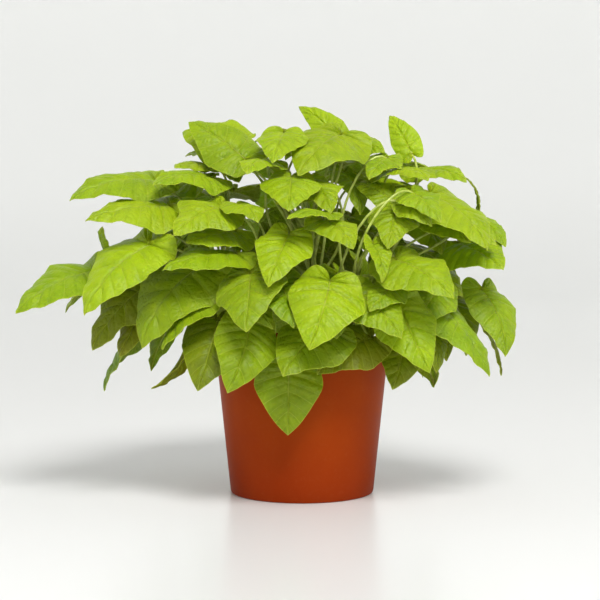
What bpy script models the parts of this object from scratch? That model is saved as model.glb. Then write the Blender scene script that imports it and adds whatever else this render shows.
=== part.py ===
"""Sweet potato vine growing in a plain plastic pot.

Metres, +Z up, the origin at the centre of the pot's base. The front of the plant faces -Y.
Each leafy stem grew as one piece, so its stem, petioles and blades are joined in one solid.
"""
import itertools
import math
import random
from dataclasses import dataclass

import bmesh
import bpy
from mathutils import Vector
from mathutils.bvhtree import BVHTree

# The pot: a turned shell with a small rolled rim, a foot ring, a centre pad and drain holes
POT_HEIGHT = 0.135
POT_TOP_RADIUS = 0.0775
POT_BASE_RADIUS = 0.0635
POT_WALL = 0.0018
POT_EDGE_RADIUS = 0.002
RIM_WIDTH = 0.0025
RIM_DEPTH = 0.006
RIM_EDGE = 0.001
RIM_SLOPE = 0.0015
FOOT_WIDTH = 0.014
FOOT_RISE = 0.002
FOOT_SLOPE = 0.001
PAD_RADIUS = 0.012
FLOOR_CORNER = (0.004, 0.003)
POT_SIDES = 32
DRAIN_COUNT = 6
DRAIN_RADIUS = 0.004
DRAIN_CIRCLE = 0.032
DRAIN_SIDES = 8
CUT_DEPTH = 0.012
POT_COLOUR = (0.31, 0.045, 0.006)

# The potting mix
FIT_GAP = 0.0003
SLOPE_GAP = 0.00045
MIX_TOP = 0.120
MIX_RINGS = 3
MIX_SIDES = POT_SIDES // 2
MIX_BUMP = 0.0016
MIX_CORNER = (0.0044, 0.0034)
MIX_COLOUR = (0.02, 0.012, 0.008)

# Stems and petioles
STEM_DEPTH = 0.030
STEM_NECK = 0.004
STEM_RADIUS = 0.0032
STEM_TIP_RADIUS = 0.0018
STEM_SIDES = 6
STEM_COURSE = ((0.22, 0.36), (0.60, 0.72), (1.0, 1.0))
HOLE_RADIUS = STEM_RADIUS + 0.0008
HOLE_SIDES = 10
PETIOLE_RADIUS = 0.0012
PETIOLE_FOOT_RADIUS = 0.00145
PETIOLE_END_RADIUS = 0.0011
PETIOLE_STEPS = 3
PETIOLE_SIDES = 3
STALK_SEAT = 0.0007
STALK_RISE = 0.4
STALK_OUT = 0.15
STALK_BACK = 0.22
GREEN = (0.33, 0.47, 0.03)

# Stems: azimuth in degrees from the front towards the right, radius at the mix, lean and height
STEMS = {
    "vine_front": (-10, 0.038, 0.030, 0.185),
    "vine_right_front": (38, 0.040, 0.034, 0.190),
    "vine_right": (84, 0.036, 0.036, 0.200),
    "vine_right_back": (128, 0.040, 0.030, 0.195),
    "vine_back": (172, 0.038, 0.030, 0.200),
    "vine_left_back": (-140, 0.040, 0.034, 0.195),
    "vine_left": (-95, 0.038, 0.044, 0.190),
    "vine_left_front": (-52, 0.042, 0.040, 0.180),
    "vine_crown": (60, 0.008, 0.006, 0.235),
}
CROWN = "vine_crown"
CROWN_REACH = 0.058
CROWN_FLOOR = 0.225
PLANT_CENTRE = Vector((-0.008, 0.0, 0.0))

# Blades: half of the outline, along and across the midrib in blade lengths, from notch to tip,
# and the places along the midrib where the veins to those points start
BLADE_THICKNESS = 0.0007
OUTLINE = ((-0.13, 0.09), (-0.18, 0.27), (-0.04, 0.43), (0.27, 0.49), (0.57, 0.40), (0.83, 0.19))
VEIN_ROOTS = (0.0, 0.0, 0.0, 0.14, 0.38, 0.66)
LOBE = 3
LOBE_FORWARD = 0.6
LOBE_SINUS = 0.5
STALK_JOINT = 0.05
BUD_LENGTH = 0.030
BUD_SINK = 0.003
SEED = 7

# Leaves by rule: count, first and last azimuth, height, radius of the joints, blade length,
# how far the tip goes outwards and down
RULE_TIERS = (
    (7, 100, 262, 0.158, 0.128, 0.082, 0.045, 0.062),
    (7, 98, 266, 0.198, 0.130, 0.086, 0.066, 0.045),
    (7, 98, 264, 0.238, 0.112, 0.084, 0.068, 0.036),
    (5, 104, 258, 0.276, 0.082, 0.076, 0.068, 0.020),
    (4, 110, 250, 0.300, 0.044, 0.072, 0.064, 0.004),
    (5, 112, 250, 0.226, 0.066, 0.080, 0.026, 0.070),
    (6, -80, 84, 0.203, 0.080, 0.066, 0.044, 0.040),
)
RULE_LOBES = (0.0, 0.0, 0.08, 0.14)
RULE_ANGLE = 7.0
RULE_SPREAD = 0.009
RULE_SIDEWAYS = 0.022
RIGHT_SHORT = 0.24

# Room between blades and petioles of different stems, and how crossing leaves are slid apart
BLADE_GUARD = 0.0007
PETIOLE_GUARD = 0.0006
POT_CLEARANCE = 0.0035
CLEAR_ROUNDS = 160
OWN_CLEAR_ROUNDS = 90
CLEAR_STEP = 0.0012

# Petiole routes that are tried: bend to one side, hang under the joint and place on the stem
SWINGS = (0.0, 0.15, -0.15, 0.3, -0.3, 0.5, -0.5)
HANGS = (0.12, 0.28, -0.05, 0.45)
STEM_STARTS = (0.95, 0.75, 0.55, 0.35)
BULGE_COST = 20.0

# The front is laid out as it is seen from this viewpoint, in picture points of a 600-point frame
VIEW_FROM = Vector((-0.0018, -1.6, 0.2838))
VIEW_DOWN = math.radians(4.03)
VIEW_FOCAL = 1808.0
VIEW_CENTRE = 300.0


@dataclass
class Leaf:
    """One blade: where its stalk joins it, where its tip is and how it is shaped."""
    name: str
    joint: Vector
    tip: Vector
    face: Vector
    width: float = 0.78
    arch: float = 0.09
    fold: float = -0.03
    wave: float = 0.04
    lobe: float = 0.04
    lift: float = 0.10
    loose: float = 1.0
    stem: str = ""

    def shift(self, step):
        self.joint = self.joint + step
        self.tip = self.tip + step


def outward_at(azimuth):
    turn = math.radians(azimuth)
    return Vector((math.sin(turn), -math.cos(turn), 0))


def seen_at(spot, near):
    """The place on the line of sight through a picture point, this far in front of the pot's axis."""
    forward = Vector((0, math.cos(VIEW_DOWN), -math.sin(VIEW_DOWN)))
    upward = Vector((0, math.sin(VIEW_DOWN), math.cos(VIEW_DOWN)))
    across = (spot[0] - VIEW_CENTRE) / VIEW_FOCAL
    above = (VIEW_CENTRE - spot[1]) / VIEW_FOCAL
    ray = forward + upward * above + Vector((1, 0, 0)) * across
    return VIEW_FROM + ray * ((-near - VIEW_FROM.y) / ray.y)


def seen(name, joint, tip, near, length, face, **shape):
    """A leaf of the front. near and length are in mm; a negative length leans away from the viewer."""
    start = seen_at(joint, near / 1000)
    flat_end = seen_at(tip, near / 1000)
    span = (flat_end - start).length
    reach = abs(length) / 1000
    lean = math.sqrt(max(reach ** 2 - span ** 2, 0.0))
    end = seen_at(tip, near / 1000 + math.copysign(lean, length))
    shape.setdefault("loose", 0.35)
    return Leaf(name, start, end, Vector(face), **shape)


def left_leaves():
    """The leaves seen left of the pot and over its left edge, from the outside in."""
    return [
        seen("far_left", (98, 268), (17, 311), 28, 88, (-0.2, -0.5, 0.84), lift=0.25, loose=0.1),
        seen("fold_left", (106, 268), (98, 236), 20, 38, (-0.6, -0.6, 0.2), width=0.7),
        seen("left_bright", (151, 249), (86, 320), 72, 90, (-0.3, -0.62, 0.72), width=0.72, loose=0.1),
        seen("left_upper", (156, 195), (70, 215), 8, 86, (-0.2, -0.48, 0.85)),
        seen("left_middle", (174, 214), (90, 229), 34, 84, (-0.15, -0.5, 0.85)),
        seen("shoulder_left", (212, 180), (153, 186), 18, 68, (-0.1, -0.5, 0.86), lobe=0.08),
        seen("square_left", (223, 204), (174, 233), 62, 66, (-0.1, -0.72, 0.7), lobe=0.13, loose=0.1),
        seen("small_left", (236, 211), (257, 229), 66, 44, (0.2, -0.5, 0.84)),
        seen("inner_left", (236, 238), (186, 250), 44, 62, (-0.1, -0.6, 0.8), width=0.84),
        seen("band_left", (236, 252), (162, 268), 72, 72, (-0.1, -0.34, 0.94), arch=0.1),
        seen("shade_left", (212, 270), (153, 352), 52, 92, (-0.35, -0.68, 0.64), width=0.84),
        seen("hang_far_left", (148, 284), (92, 350), 34, 78, (-0.5, -0.7, 0.3), lobe=0.2),
        seen("hang_left", (151, 300), (124, 362), 22, 66, (-0.4, -0.8, 0.2), lobe=0.18, width=0.7),
        seen("sickle", (190, 320), (151, 389), 32, 76, (0.75, 0.25, 0.5), width=0.4, fold=0.4),
        seen("dark_left", (215, 316), (195, 388), 66, 74, (-0.3, -0.9, 0.25), width=0.84),
        seen("pot_left", (250, 321), (227, 392), 92, 72, (0.15, -0.85, 0.5), width=0.76, loose=0.1),
        seen("twist_left", (243, 294), (272, 332), 74, 50, (-0.3, -0.6, 0.75), width=0.6),
    ]


def right_leaves():
    """The leaves seen right of the pot and over its right edge, from the outside in."""
    return [
        seen("front_fold", (392, 291), (369, 317), 92, 40, (-0.1, -0.7, 0.7), width=0.84, loose=0.2),
        seen("right_bright", (398, 303), (430, 375), 82, 76, (0.05, -0.7, 0.7), width=0.72, loose=0.1),
        seen("right_behind", (432, 290), (404, 332), 60, 54, (0, -0.7, 0.7)),
        seen("right_dark", (402, 337), (393, 389), 56, 56, (0.1, -0.93, 0.3)),
        seen("right_edge", (426, 312), (438, 373), 46, 60, (0.5, -0.6, 0.4), width=0.62),
        seen("right_fork", (440, 297), (453, 356), 24, 62, (0.2, -0.8, 0.4), width=0.62),
        seen("right_fork_far", (452, 297), (467, 354), 10, 60, (0.3, -0.75, 0.4), width=0.62),
        seen("right_long", (436, 286), (490, 361), 48, 88, (0.6, -0.45, 0.6), width=0.7),
        seen("right_thin", (478, 316), (501, 376), -8, 60, (0.85, -0.2, 0.4), width=0.35),
        seen("right_big", (482, 290), (505, 357), 12, 74, (0.4, -0.7, 0.6), width=0.66, loose=0.2),
        seen("right_shoulder", (456, 252), (501, 279), 8, 68, (0.2, -0.75, 0.55), width=0.88, lobe=0.06),
        seen("right_shade", (396, 260), (454, 299), 84, 76, (0.05, -0.56, 0.82), width=0.84, loose=0.2),
        seen("right_curl", (374, 240), (384, 278), 92, 46, (0.4, -0.6, 0.6), width=0.5, fold=0.2),
        seen("lobed_right", (397, 206), (388, 246), 66, 50, (0.0, -0.8, 0.6), width=0.76, lobe=0.1, loose=0.1),
        seen("lobe_wing", (402, 210), (430, 234), 68, 40, (0.15, -0.7, 0.7), width=0.7, loose=0.2),
        seen("tongue_right", (398, 205), (352, 184), 48, -52, (-0.1, -0.6, 0.78), width=0.55),
        seen("right_hollow", (432, 218), (470, 246), 22, 62, (0.2, -0.7, 0.65), width=0.84),
        seen("behind_stalk", (350, 150), (366, 192), 2, 58, (0.5, -0.6, 0.5), width=0.62),
        seen("rim_right", (388, 156), (369, 178), 32, 42, (-0.2, -0.65, 0.7), width=0.72, lobe=0.1),
        seen("ledge_right", (388, 170), (428, 178), 24, 56, (0.15, -0.4, 0.9), lobe=0.06),
        seen("top_right", (415, 164), (466, 173), -6, 62, (0.15, -0.6, 0.78), width=0.6, loose=0.1),
        seen("top_right_up", (413, 162), (391, 124), -4, -50, (-0.3, -0.7, 0.6), width=0.5, loose=0.1),
        seen("young_right", (476, 213), (462, 180), -4, 36, (0.95, 0.1, 0.2), width=0.3, loose=0.1),
        seen("right_tip", (477, 212), (511, 240), -10, 52, (0.35, -0.75, 0.55), width=0.62, loose=0.2),
        seen("right_slope", (429, 196), (487, 252), 44, 84, (0.3, -0.5, 0.82), loose=0.2),
        seen("right_slope_back", (454, 222), (496, 246), 14, 60, (0.3, -0.5, 0.8), width=0.7),
        seen("right_inner", (402, 214), (440, 262), -26, 72, (0.2, -0.6, 0.75)),
        seen("right_inner_low", (398, 246), (446, 276), 6, 70, (0.2, -0.6, 0.75)),
        seen("right_curled", (411, 197), (440, 227), 66, 50, (0.1, -0.6, 0.8), width=0.7, lobe=0.1),
    ]


def middle_leaves():
    """The leaves seen over the pot and on the crown."""
    return [
        seen("pot_front", (289, 364), (288, 435), 96, 60, (0, -0.98, 0.15), width=0.92, loose=0.1),
        seen("pale_front", (328, 330), (283, 377), 94, 68, (-0.15, -0.75, 0.62), width=0.95, loose=0.15),
        seen("red_under", (372, 338), (317, 375), 80, 62, (-0.1, -0.75, 0.6)),
        seen("front_bright", (330, 283), (309, 352), 108, 72, (0, -0.76, 0.64), width=0.88, loose=0.1),
        seen("front_right", (350, 298), (399, 345), 84, 68, (0.1, -0.72, 0.7)),
        seen("top_middle", (342, 144), (299, 185), 12, 76, (-0.1, -0.7, 0.72), width=0.88, loose=0.1),
        seen("top_peak", (341, 142), (299, 105), 8, -60, (-0.25, -0.7, 0.65), width=0.45, loose=0.1),
        seen("top_wing", (343, 143), (382, 146), 4, 46, (0.1, -0.8, 0.6), width=0.7, loose=0.2),
        seen("rear_brown", (318, 140), (272, 147), -24, 62, (-0.1, -0.75, 0.62)),
        seen("rear_curl", (248, 150), (268, 143), -14, 40, (0.1, -0.5, 0.8), width=0.7),
        seen("top_left", (284, 150), (273, 181), 20, 60, (-0.05, -0.62, 0.78), width=0.72, lobe=0.05),
        seen("upper_left", (246, 164), (189, 127), 26, -66, (-0.15, -0.6, 0.78), width=0.72, loose=0.1),
        seen("upper_left_rear", (238, 152), (183, 141), -2, -60, (-0.1, -0.7, 0.7), lobe=0.08),
        seen("left_peak", (222, 164), (173, 161), -14, 64, (-0.1, -0.4, 0.92)),
        seen("centre_left", (292, 184), (289, 219), 56, 60, (0, -0.58, 0.82), width=0.8, lobe=0.06),
        seen("centre_right", (308, 180), (330, 212), 50, 56, (0.05, -0.64, 0.77), width=0.7, lobe=0.12),
        seen("centre_strip", (328, 221), (286, 226), 84, 48, (0, -0.24, 0.97), width=0.62),
        seen("centre_tongue", (324, 216), (354, 245), 76, 56, (0.1, -0.55, 0.83), width=0.7),
        seen("centre_bright", (289, 231), (268, 283), 86, 64, (-0.05, -0.76, 0.65), width=0.74, loose=0.1),
        seen("centre_cup", (273, 268), (288, 314), 76, 60, (0.05, -0.7, 0.7), width=0.84, fold=0.06),
        seen("centre_small", (270, 180), (246, 192), 44, 52, (-0.05, -0.5, 0.86), width=0.7),
        seen("centre_shade", (303, 180), (277, 194), 30, 52, (0, -0.5, 0.86)),
    ]


def ruled_leaves():
    """The back of the plant and its inside, tier by tier."""
    draws = random.Random(SEED)
    leaves = []
    for tier, (count, first, last, height, radius, length, out, down) in enumerate(RULE_TIERS):
        for index in range(count):
            azimuth = first + (last - first) * index / (count - 1)
            outward = outward_at(azimuth + draws.uniform(-RULE_ANGLE, RULE_ANGLE))
            reach = 1 - RIGHT_SHORT * max(outward.x, 0.0)
            away = (radius + draws.uniform(-RULE_SPREAD, RULE_SPREAD)) * reach
            level = height + draws.uniform(-RULE_SPREAD, RULE_SPREAD)
            joint = PLANT_CENTRE + outward * away + Vector((0, 0, level))
            side = outward.cross(Vector((0, 0, 1)))
            aim = outward * (out * reach) - Vector((0, 0, down))
            aim += side * draws.uniform(-RULE_SIDEWAYS, RULE_SIDEWAYS)
            tip = joint + aim.normalized() * (length * draws.uniform(0.85, 1.1))
            face = outward * draws.uniform(0.3, 0.6) + Vector((0, 0, 0.85)) + side * draws.uniform(-0.2, 0.2)
            leaves.append(Leaf(f"rule_{tier}_{index}", joint, tip, face, width=draws.uniform(0.74, 0.88),
                               lobe=draws.choice(RULE_LOBES)))
    return leaves


def young_name(stem):
    return stem + "_young"


def young_leaves():
    """The young folded leaf at the end of each stem."""
    leaves = []
    for name, (azimuth, *_) in STEMS.items():
        outward = outward_at(azimuth)
        aim = (Vector((0, 0, 1)) + outward * 0.35).normalized()
        joint = stem_path(name)[-1] - aim * BUD_SINK
        leaves.append(Leaf(young_name(name), joint, joint + aim * BUD_LENGTH, outward + Vector((0.3, 0, 0)),
                           width=0.45, fold=0.35, lift=0.0, loose=0.02, stem=name))
    return leaves


def edge_points(leaf):
    """Half of a leaf's outline: the common one, with its lobe drawn out and the bay behind it drawn in."""
    points = list(OUTLINE)
    along, across = points[LOBE]
    points[LOBE] = (along + leaf.lobe * LOBE_FORWARD, across + leaf.lobe)
    along, across = points[LOBE + 1]
    points[LOBE + 1] = (along, across - leaf.lobe * LOBE_SINUS)
    return points


class Blade:
    """The surface of a leaf as a rule: along the midrib, across it and its waves."""

    def __init__(self, leaf):
        chord = leaf.tip - leaf.joint
        self.leaf = leaf
        self.length = chord.length
        self.ahead = chord.normalized()
        self.up = (leaf.face - self.ahead * leaf.face.dot(self.ahead)).normalized()
        self.right = self.ahead.cross(self.up)
        draws = random.Random(leaf.name)
        self.phase = (draws.uniform(0, math.tau), draws.uniform(0, math.tau))
        self.sway = draws.uniform(-0.06, 0.06)
        self.bend = leaf.arch * draws.uniform(0.6, 1.5)
        self.cup = draws.uniform(0.2, 0.6)

    def point(self, along, across):
        """A point of the blade, along and across in blade lengths, across positive to the right."""
        leaf = self.leaf
        wide = across * leaf.width
        body = max(min(along, 1.0), 0.0)
        hump = 4 * body * (1 - body)
        rise = self.bend * hump + leaf.fold * abs(wide) * 2 * (1 - 0.5 * body) - self.cup * wide ** 2
        rise += leaf.lift * max(-along, 0.0) * 2
        phase = self.phase[0] if across > 0 else self.phase[1]
        rise += leaf.wave * math.sin(9.0 * along + phase) * (abs(wide) / 0.4) ** 1.5
        sideways = wide + self.sway * hump
        return (leaf.joint + self.ahead * (along * self.length) + self.right * (sideways * self.length)
                + self.up * (rise * self.length))


def blade_sheet(leaf):
    """The open sheet of a blade: its points, its triangles with the upper side outwards, and its border."""
    blade = Blade(leaf)
    spine = sorted(set(VEIN_ROOTS)) + [1.0]
    points = [blade.point(along, 0.0) for along in spine]
    tip = len(spine) - 1
    edge = edge_points(leaf)
    faces = []
    rims = []
    for sign in (1, -1):
        first = len(points)
        rim = list(range(first, first + len(edge)))
        points.extend(blade.point(along, across * sign) for along, across in edge)
        rims.append(rim)
        side = []
        for index in range(len(rim) - 1):
            here = spine.index(VEIN_ROOTS[index])
            after = spine.index(VEIN_ROOTS[index + 1])
            side.append((here, rim[index], rim[index + 1]))
            if after != here:
                side.append((here, rim[index + 1], after))
        side.append((spine.index(VEIN_ROOTS[-1]), rim[-1], tip))
        faces.extend(side if sign > 0 else [face[::-1] for face in side])
    border = [0] + rims[0] + [tip] + rims[1][::-1]
    return points, faces, border


def sheet_normals(points, faces):
    normals = [Vector((0, 0, 0)) for _ in points]
    for a, b, c in faces:
        normal = (points[b] - points[a]).cross(points[c] - points[a])
        for corner in (a, b, c):
            normals[corner] += normal
    return [normal.normalized() for normal in normals]


def guard_shell(points, faces, border, thickness):
    """A closed skin round a blade, to keep other stems' leaves out of."""
    normals = sheet_normals(points, faces)
    count = len(points)
    skin = [p + n * thickness for p, n in zip(points, normals)]
    skin += [p - n * thickness for p, n in zip(points, normals)]
    triangles = list(faces) + [(a + count, c + count, b + count) for a, b, c in faces]
    for here, after in zip(border, border[1:] + border[:1]):
        triangles.append((here, after, after + count))
        triangles.append((here, after + count, here + count))
    return BVHTree.FromPolygons(skin, triangles)


def ring_frame(direction):
    guide = Vector((0, 0, 1)) if abs(direction.z) < 0.9 else Vector((1, 0, 0))
    side = direction.cross(guide).normalized()
    return side, direction.cross(side).normalized()


def guard_tube(path, radius):
    """A closed four-sided skin round a stalk or stem."""
    skin = []
    for index, point in enumerate(path):
        before = path[max(index - 1, 0)]
        after = path[min(index + 1, len(path) - 1)]
        side, other = ring_frame((after - before).normalized())
        skin += [point + side * radius, point + other * radius, point - side * radius, point - other * radius]
    triangles = [(0, 1, 2), (0, 2, 3)]
    last = len(skin) - 4
    triangles += [(last, last + 2, last + 1), (last, last + 3, last + 2)]
    for ring in range(len(path) - 1):
        for corner in range(4):
            a = ring * 4 + corner
            b = ring * 4 + (corner + 1) % 4
            triangles += [(a, b, b + 4), (a, b + 4, a + 4)]
    return BVHTree.FromPolygons(skin, triangles)


def pot_radius(height):
    return POT_BASE_RADIUS + (POT_TOP_RADIUS - POT_BASE_RADIUS) * height / POT_HEIGHT


def pot_push(points):
    """How far outwards a leaf has to move to hang clear of the pot and its rim."""
    push = 0.0
    for point in points:
        if point.z > POT_HEIGHT + POT_CLEARANCE:
            continue
        limit = pot_radius(point.z) + RIM_WIDTH + POT_CLEARANCE
        push = max(push, limit - math.hypot(point.x, point.y))
    return push


def stem_path(name):
    """The middle line of a stem, from the bottom of its hole in the mix to its growing end."""
    azimuth, radius, lean, height = STEMS[name]
    outward = outward_at(azimuth)
    foot = outward * radius
    path = [foot + Vector((0, 0, MIX_TOP - STEM_DEPTH)), foot + Vector((0, 0, MIX_TOP + STEM_NECK))]
    for out, up in STEM_COURSE:
        path.append(foot + outward * (lean * out) + Vector((0, 0, MIX_TOP + (height - MIX_TOP) * up)))
    return path


def nearest_stem(leaf):
    """The stem that a leaf grows from: the crown over the middle, else the one on its side."""
    away = leaf.joint - PLANT_CENTRE
    if math.hypot(away.x, away.y) < CROWN_REACH and leaf.joint.z > CROWN_FLOOR:
        return CROWN
    azimuth = math.degrees(math.atan2(away.x, -away.y))
    sides = {name: stem for name, stem in STEMS.items() if name != CROWN}
    return min(sides, key=lambda name: abs((sides[name][0] - azimuth + 180) % 360 - 180))


def blade_probe(leaf):
    points, faces, border = blade_sheet(leaf)
    tree = guard_shell(points, faces, border, BLADE_THICKNESS / 2 + BLADE_GUARD)
    low = Vector([min(p[axis] for p in points) for axis in range(3)])
    high = Vector([max(p[axis] for p in points) for axis in range(3)])
    middle = sum(points, Vector((0, 0, 0))) / len(points)
    centres = [(points[a] + points[b] + points[c]) / 3 for a, b, c in faces]
    return {"tree": tree, "low": low, "high": high, "middle": middle, "points": points + centres,
            "up": Blade(leaf).up}


def boxes_meet(one, two):
    margin = 2 * BLADE_GUARD + BLADE_THICKNESS
    return all(one["low"][axis] < two["high"][axis] + margin and two["low"][axis] < one["high"][axis] + margin
               for axis in range(3))


def apart_from(one, two):
    """The direction that slides the first of two crossing leaves off the second."""
    across, other = one["up"], two["up"]
    apart = (across + other if across.dot(other) > 0 else across - other).normalized()
    if apart.dot(one["middle"] - two["middle"]) < 0:
        return -apart
    return apart


def stem_push(leaf, probe, stems):
    """A small level step away from the other stems that a blade crosses."""
    push = Vector()
    for name, (tree, middle) in stems.items():
        if name != leaf.stem and tree.overlap(probe["tree"]):
            away = probe["middle"] - middle
            push += Vector((away.x, away.y, 0)).normalized() * CLEAR_STEP
    return push


def clearing_moves(leaves, probes, stems, own_too):
    """The next small step of each leaf that crosses another leaf or stem or is too near the pot."""
    moves = {}
    for first, second in itertools.combinations(range(len(leaves)), 2):
        one, two = leaves[first], leaves[second]
        if one.stem == two.stem and not own_too:
            continue
        if not boxes_meet(probes[first], probes[second]):
            continue
        if not probes[first]["tree"].overlap(probes[second]["tree"]):
            continue
        apart = apart_from(probes[first], probes[second])
        share = one.loose / (one.loose + two.loose)
        moves[first] = moves.get(first, Vector()) + apart * (2 * CLEAR_STEP * share)
        moves[second] = moves.get(second, Vector()) - apart * (2 * CLEAR_STEP * (1 - share))
    for index in range(len(leaves)):
        off = stem_push(leaves[index], probes[index], stems)
        if off.length > 0:
            moves[index] = moves.get(index, Vector()) + off
        push = pot_push(probes[index]["points"])
        if push > 0:
            middle = probes[index]["middle"]
            outward = Vector((middle.x, middle.y, 0)).normalized()
            moves[index] = moves.get(index, Vector()) + outward * (push + CLEAR_STEP)
    return moves


def slide_clear(leaves):
    """Slide crossing leaves apart, little by little, until no blade crosses another stem or its blades."""
    probes = [blade_probe(leaf) for leaf in leaves]
    stems = {}
    for name in STEMS:
        path = stem_path(name)[1:]
        stems[name] = (guard_tube(path, STEM_RADIUS + BLADE_GUARD), sum(path, Vector()) / len(path))
    for turn in range(CLEAR_ROUNDS):
        moves = clearing_moves(leaves, probes, stems, turn < OWN_CLEAR_ROUNDS)
        if not moves:
            break
        for index, step in moves.items():
            leaves[index].shift(step)
            probes[index] = blade_probe(leaves[index])
    return probes


def curve_point(corners, t):
    a, b, c, d = corners
    s = 1 - t
    return a * s ** 3 + b * (3 * s * s * t) + c * (3 * s * t * t) + d * t ** 3


def curve_path(corners, steps):
    return [curve_point(corners, step / steps) for step in range(steps + 1)]


def stalk_corners(leaf, start, swing, hang):
    """A petiole's curve from a point of the stem to the blade's notch, bent to one side by swing."""
    blade = Blade(leaf)
    end = blade.point(STALK_JOINT, 0.0) - blade.up * STALK_SEAT
    span = (end - start).length
    away = Vector((end.x - start.x, end.y - start.y, 0))
    side = Vector((-away.y, away.x, 0)).normalized() if away.length > 0.001 else Vector((1, 0, 0))
    leave = start + Vector((0, 0, span * STALK_RISE)) + away * STALK_OUT + side * (swing * span)
    arrive = end - blade.ahead * (span * STALK_BACK) - blade.up * (span * hang) + side * (swing * span * 0.6)
    return start, leave, arrive, end


def along_path(path, share):
    place = share * (len(path) - 1)
    index = min(int(place), len(path) - 2)
    return path[index].lerp(path[index + 1], place - index)


def tube_hits_pot(path):
    """Whether a petiole touches the pot's wall or rim; inside the bore and outside the rim it is free."""
    room = 2 * PETIOLE_RADIUS
    for first, second in zip(path, path[1:]):
        for share in (0.0, 0.5, 1.0):
            point = first.lerp(second, share)
            away = math.hypot(point.x, point.y)
            outside = away > pot_radius(point.z) + RIM_WIDTH + room
            inside = away < POT_TOP_RADIUS - POT_WALL - room and point.z > MIX_TOP + room
            if point.z < POT_HEIGHT + room and not outside and not inside:
                return True
    return False


def route_stalks(leaves, probes):
    """Choose each petiole's route so that it crosses nothing of another stem, and little of its own."""
    stems = {name: guard_tube(stem_path(name)[1:], STEM_RADIUS + PETIOLE_RADIUS) for name in STEMS}
    routes = {}
    trees = []
    frees = []
    for index in sorted(range(len(leaves)), key=lambda index: leaves[index].loose):
        leaf = leaves[index]
        if leaf.name == young_name(leaf.stem):
            continue
        best = None
        for place, hang, swing in itertools.product(STEM_STARTS, HANGS, SWINGS):
            corners = stalk_corners(leaf, along_path(stem_path(leaf.stem)[1:], place), swing, hang)
            route = curve_path(corners, PETIOLE_STEPS)
            if tube_hits_pot(route):
                continue
            tree = guard_tube(route, PETIOLE_RADIUS + PETIOLE_GUARD)
            if any(name != leaf.stem and stem.overlap(tree) for name, stem in stems.items()):
                continue
            if any(name != leaf.stem and other.overlap(tree) for name, other in trees):
                continue
            crossed = [k for k, probe in enumerate(probes) if k != index and probe["tree"].overlap(tree)]
            if any(leaves[k].stem != leaf.stem for k in crossed):
                continue
            free = guard_tube(route[1:], PETIOLE_RADIUS)
            met = sum(name == leaf.stem and other.overlap(free) != [] for name, other in frees)
            bulge = min(corners[0].y, corners[3].y) - min(point.y for point in route)
            cost = len(crossed) + 0.6 * met + BULGE_COST * bulge + 0.2 * abs(swing) + 0.1 * (1 - place)
            if best is None or cost < best[0]:
                best = (cost, corners, tree, free)
            if best[0] < 0.6 and swing == SWINGS[-1]:
                break
        if best is None:
            print("no route for the petiole of", leaf.name)
            continue
        routes[index] = best[1]
        trees.append((leaf.stem, best[2]))
        frees.append((leaf.stem, best[3]))
    return routes


def layout():
    """Every leaf with its stem, placed clear of the others, and the routes of their petioles."""
    leaves = left_leaves() + right_leaves() + middle_leaves() + ruled_leaves()
    for leaf in leaves:
        leaf.stem = nearest_stem(leaf)
    leaves += young_leaves()
    probes = slide_clear(leaves)
    return leaves, route_stalks(leaves, probes)


def plain_material(name, colour, roughness):
    material = bpy.data.materials.new(name)
    material.use_nodes = True
    shader = material.node_tree.nodes["Principled BSDF"]
    shader.inputs["Base Color"].default_value = (*colour, 1.0)
    shader.inputs["Roughness"].default_value = roughness
    return material


def new_collection(name):
    made = bpy.data.collections.new(name)
    bpy.context.scene.collection.children.link(made)
    return made


def add_object(name, data, collection, material=None):
    made = bpy.data.objects.new(name, data)
    collection.objects.link(made)
    if material is not None:
        data.materials.append(material)
    return made


def evaluated_mesh(made):
    return bpy.data.meshes.new_from_object(made.evaluated_get(bpy.context.evaluated_depsgraph_get()))


def close_caps(mesh):
    shape = bmesh.new()
    shape.from_mesh(mesh)
    bmesh.ops.remove_doubles(shape, verts=shape.verts, dist=0.00001)
    bmesh.ops.recalc_face_normals(shape, faces=shape.faces)
    shape.to_mesh(mesh)
    shape.free()


def tube_curve(name, path, radius, tip_radius, profile, collection):
    """A tapering tube along a path: a curve with a ring for its profile and filled caps."""
    curve = bpy.data.curves.new(name, "CURVE")
    curve.dimensions = "3D"
    curve.use_fill_caps = True
    curve.bevel_mode = "OBJECT"
    curve.bevel_object = profile
    spline = curve.splines.new("POLY")
    spline.points.add(len(path) - 1)
    for index, point in enumerate(path):
        spline.points[index].co = (*point, 1.0)
        spline.points[index].radius = radius + (tip_radius - radius) * index / (len(path) - 1)
    return add_object(name, curve, collection)


def tube_profile(sides, guides):
    """A closed ring of one metre radius that tubes of so many sides are bevelled with."""
    ring = bpy.data.curves.new(f"ring_{sides}", "CURVE")
    ring.dimensions = "2D"
    spline = ring.splines.new("POLY")
    spline.points.add(sides - 1)
    spline.use_cyclic_u = True
    for index in range(sides):
        turn = math.tau * index / sides
        spline.points[index].co = (math.cos(turn), math.sin(turn), 0.0, 1.0)
    made = add_object(ring.name, ring, guides)
    made.hide_render = True
    made.display_type = "WIRE"
    return made


def meshes_from(curves, collection, material=None):
    """Turn curve objects into mesh objects of the same names, with their caps closed."""
    depsgraph = bpy.context.evaluated_depsgraph_get()
    meshes = [(made.name, bpy.data.meshes.new_from_object(made.evaluated_get(depsgraph))) for made in curves]
    for made in curves:
        bpy.data.objects.remove(made)
    for _, mesh in meshes:
        close_caps(mesh)
    return [add_object(name, mesh, collection, material) for name, mesh in meshes]


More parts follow.
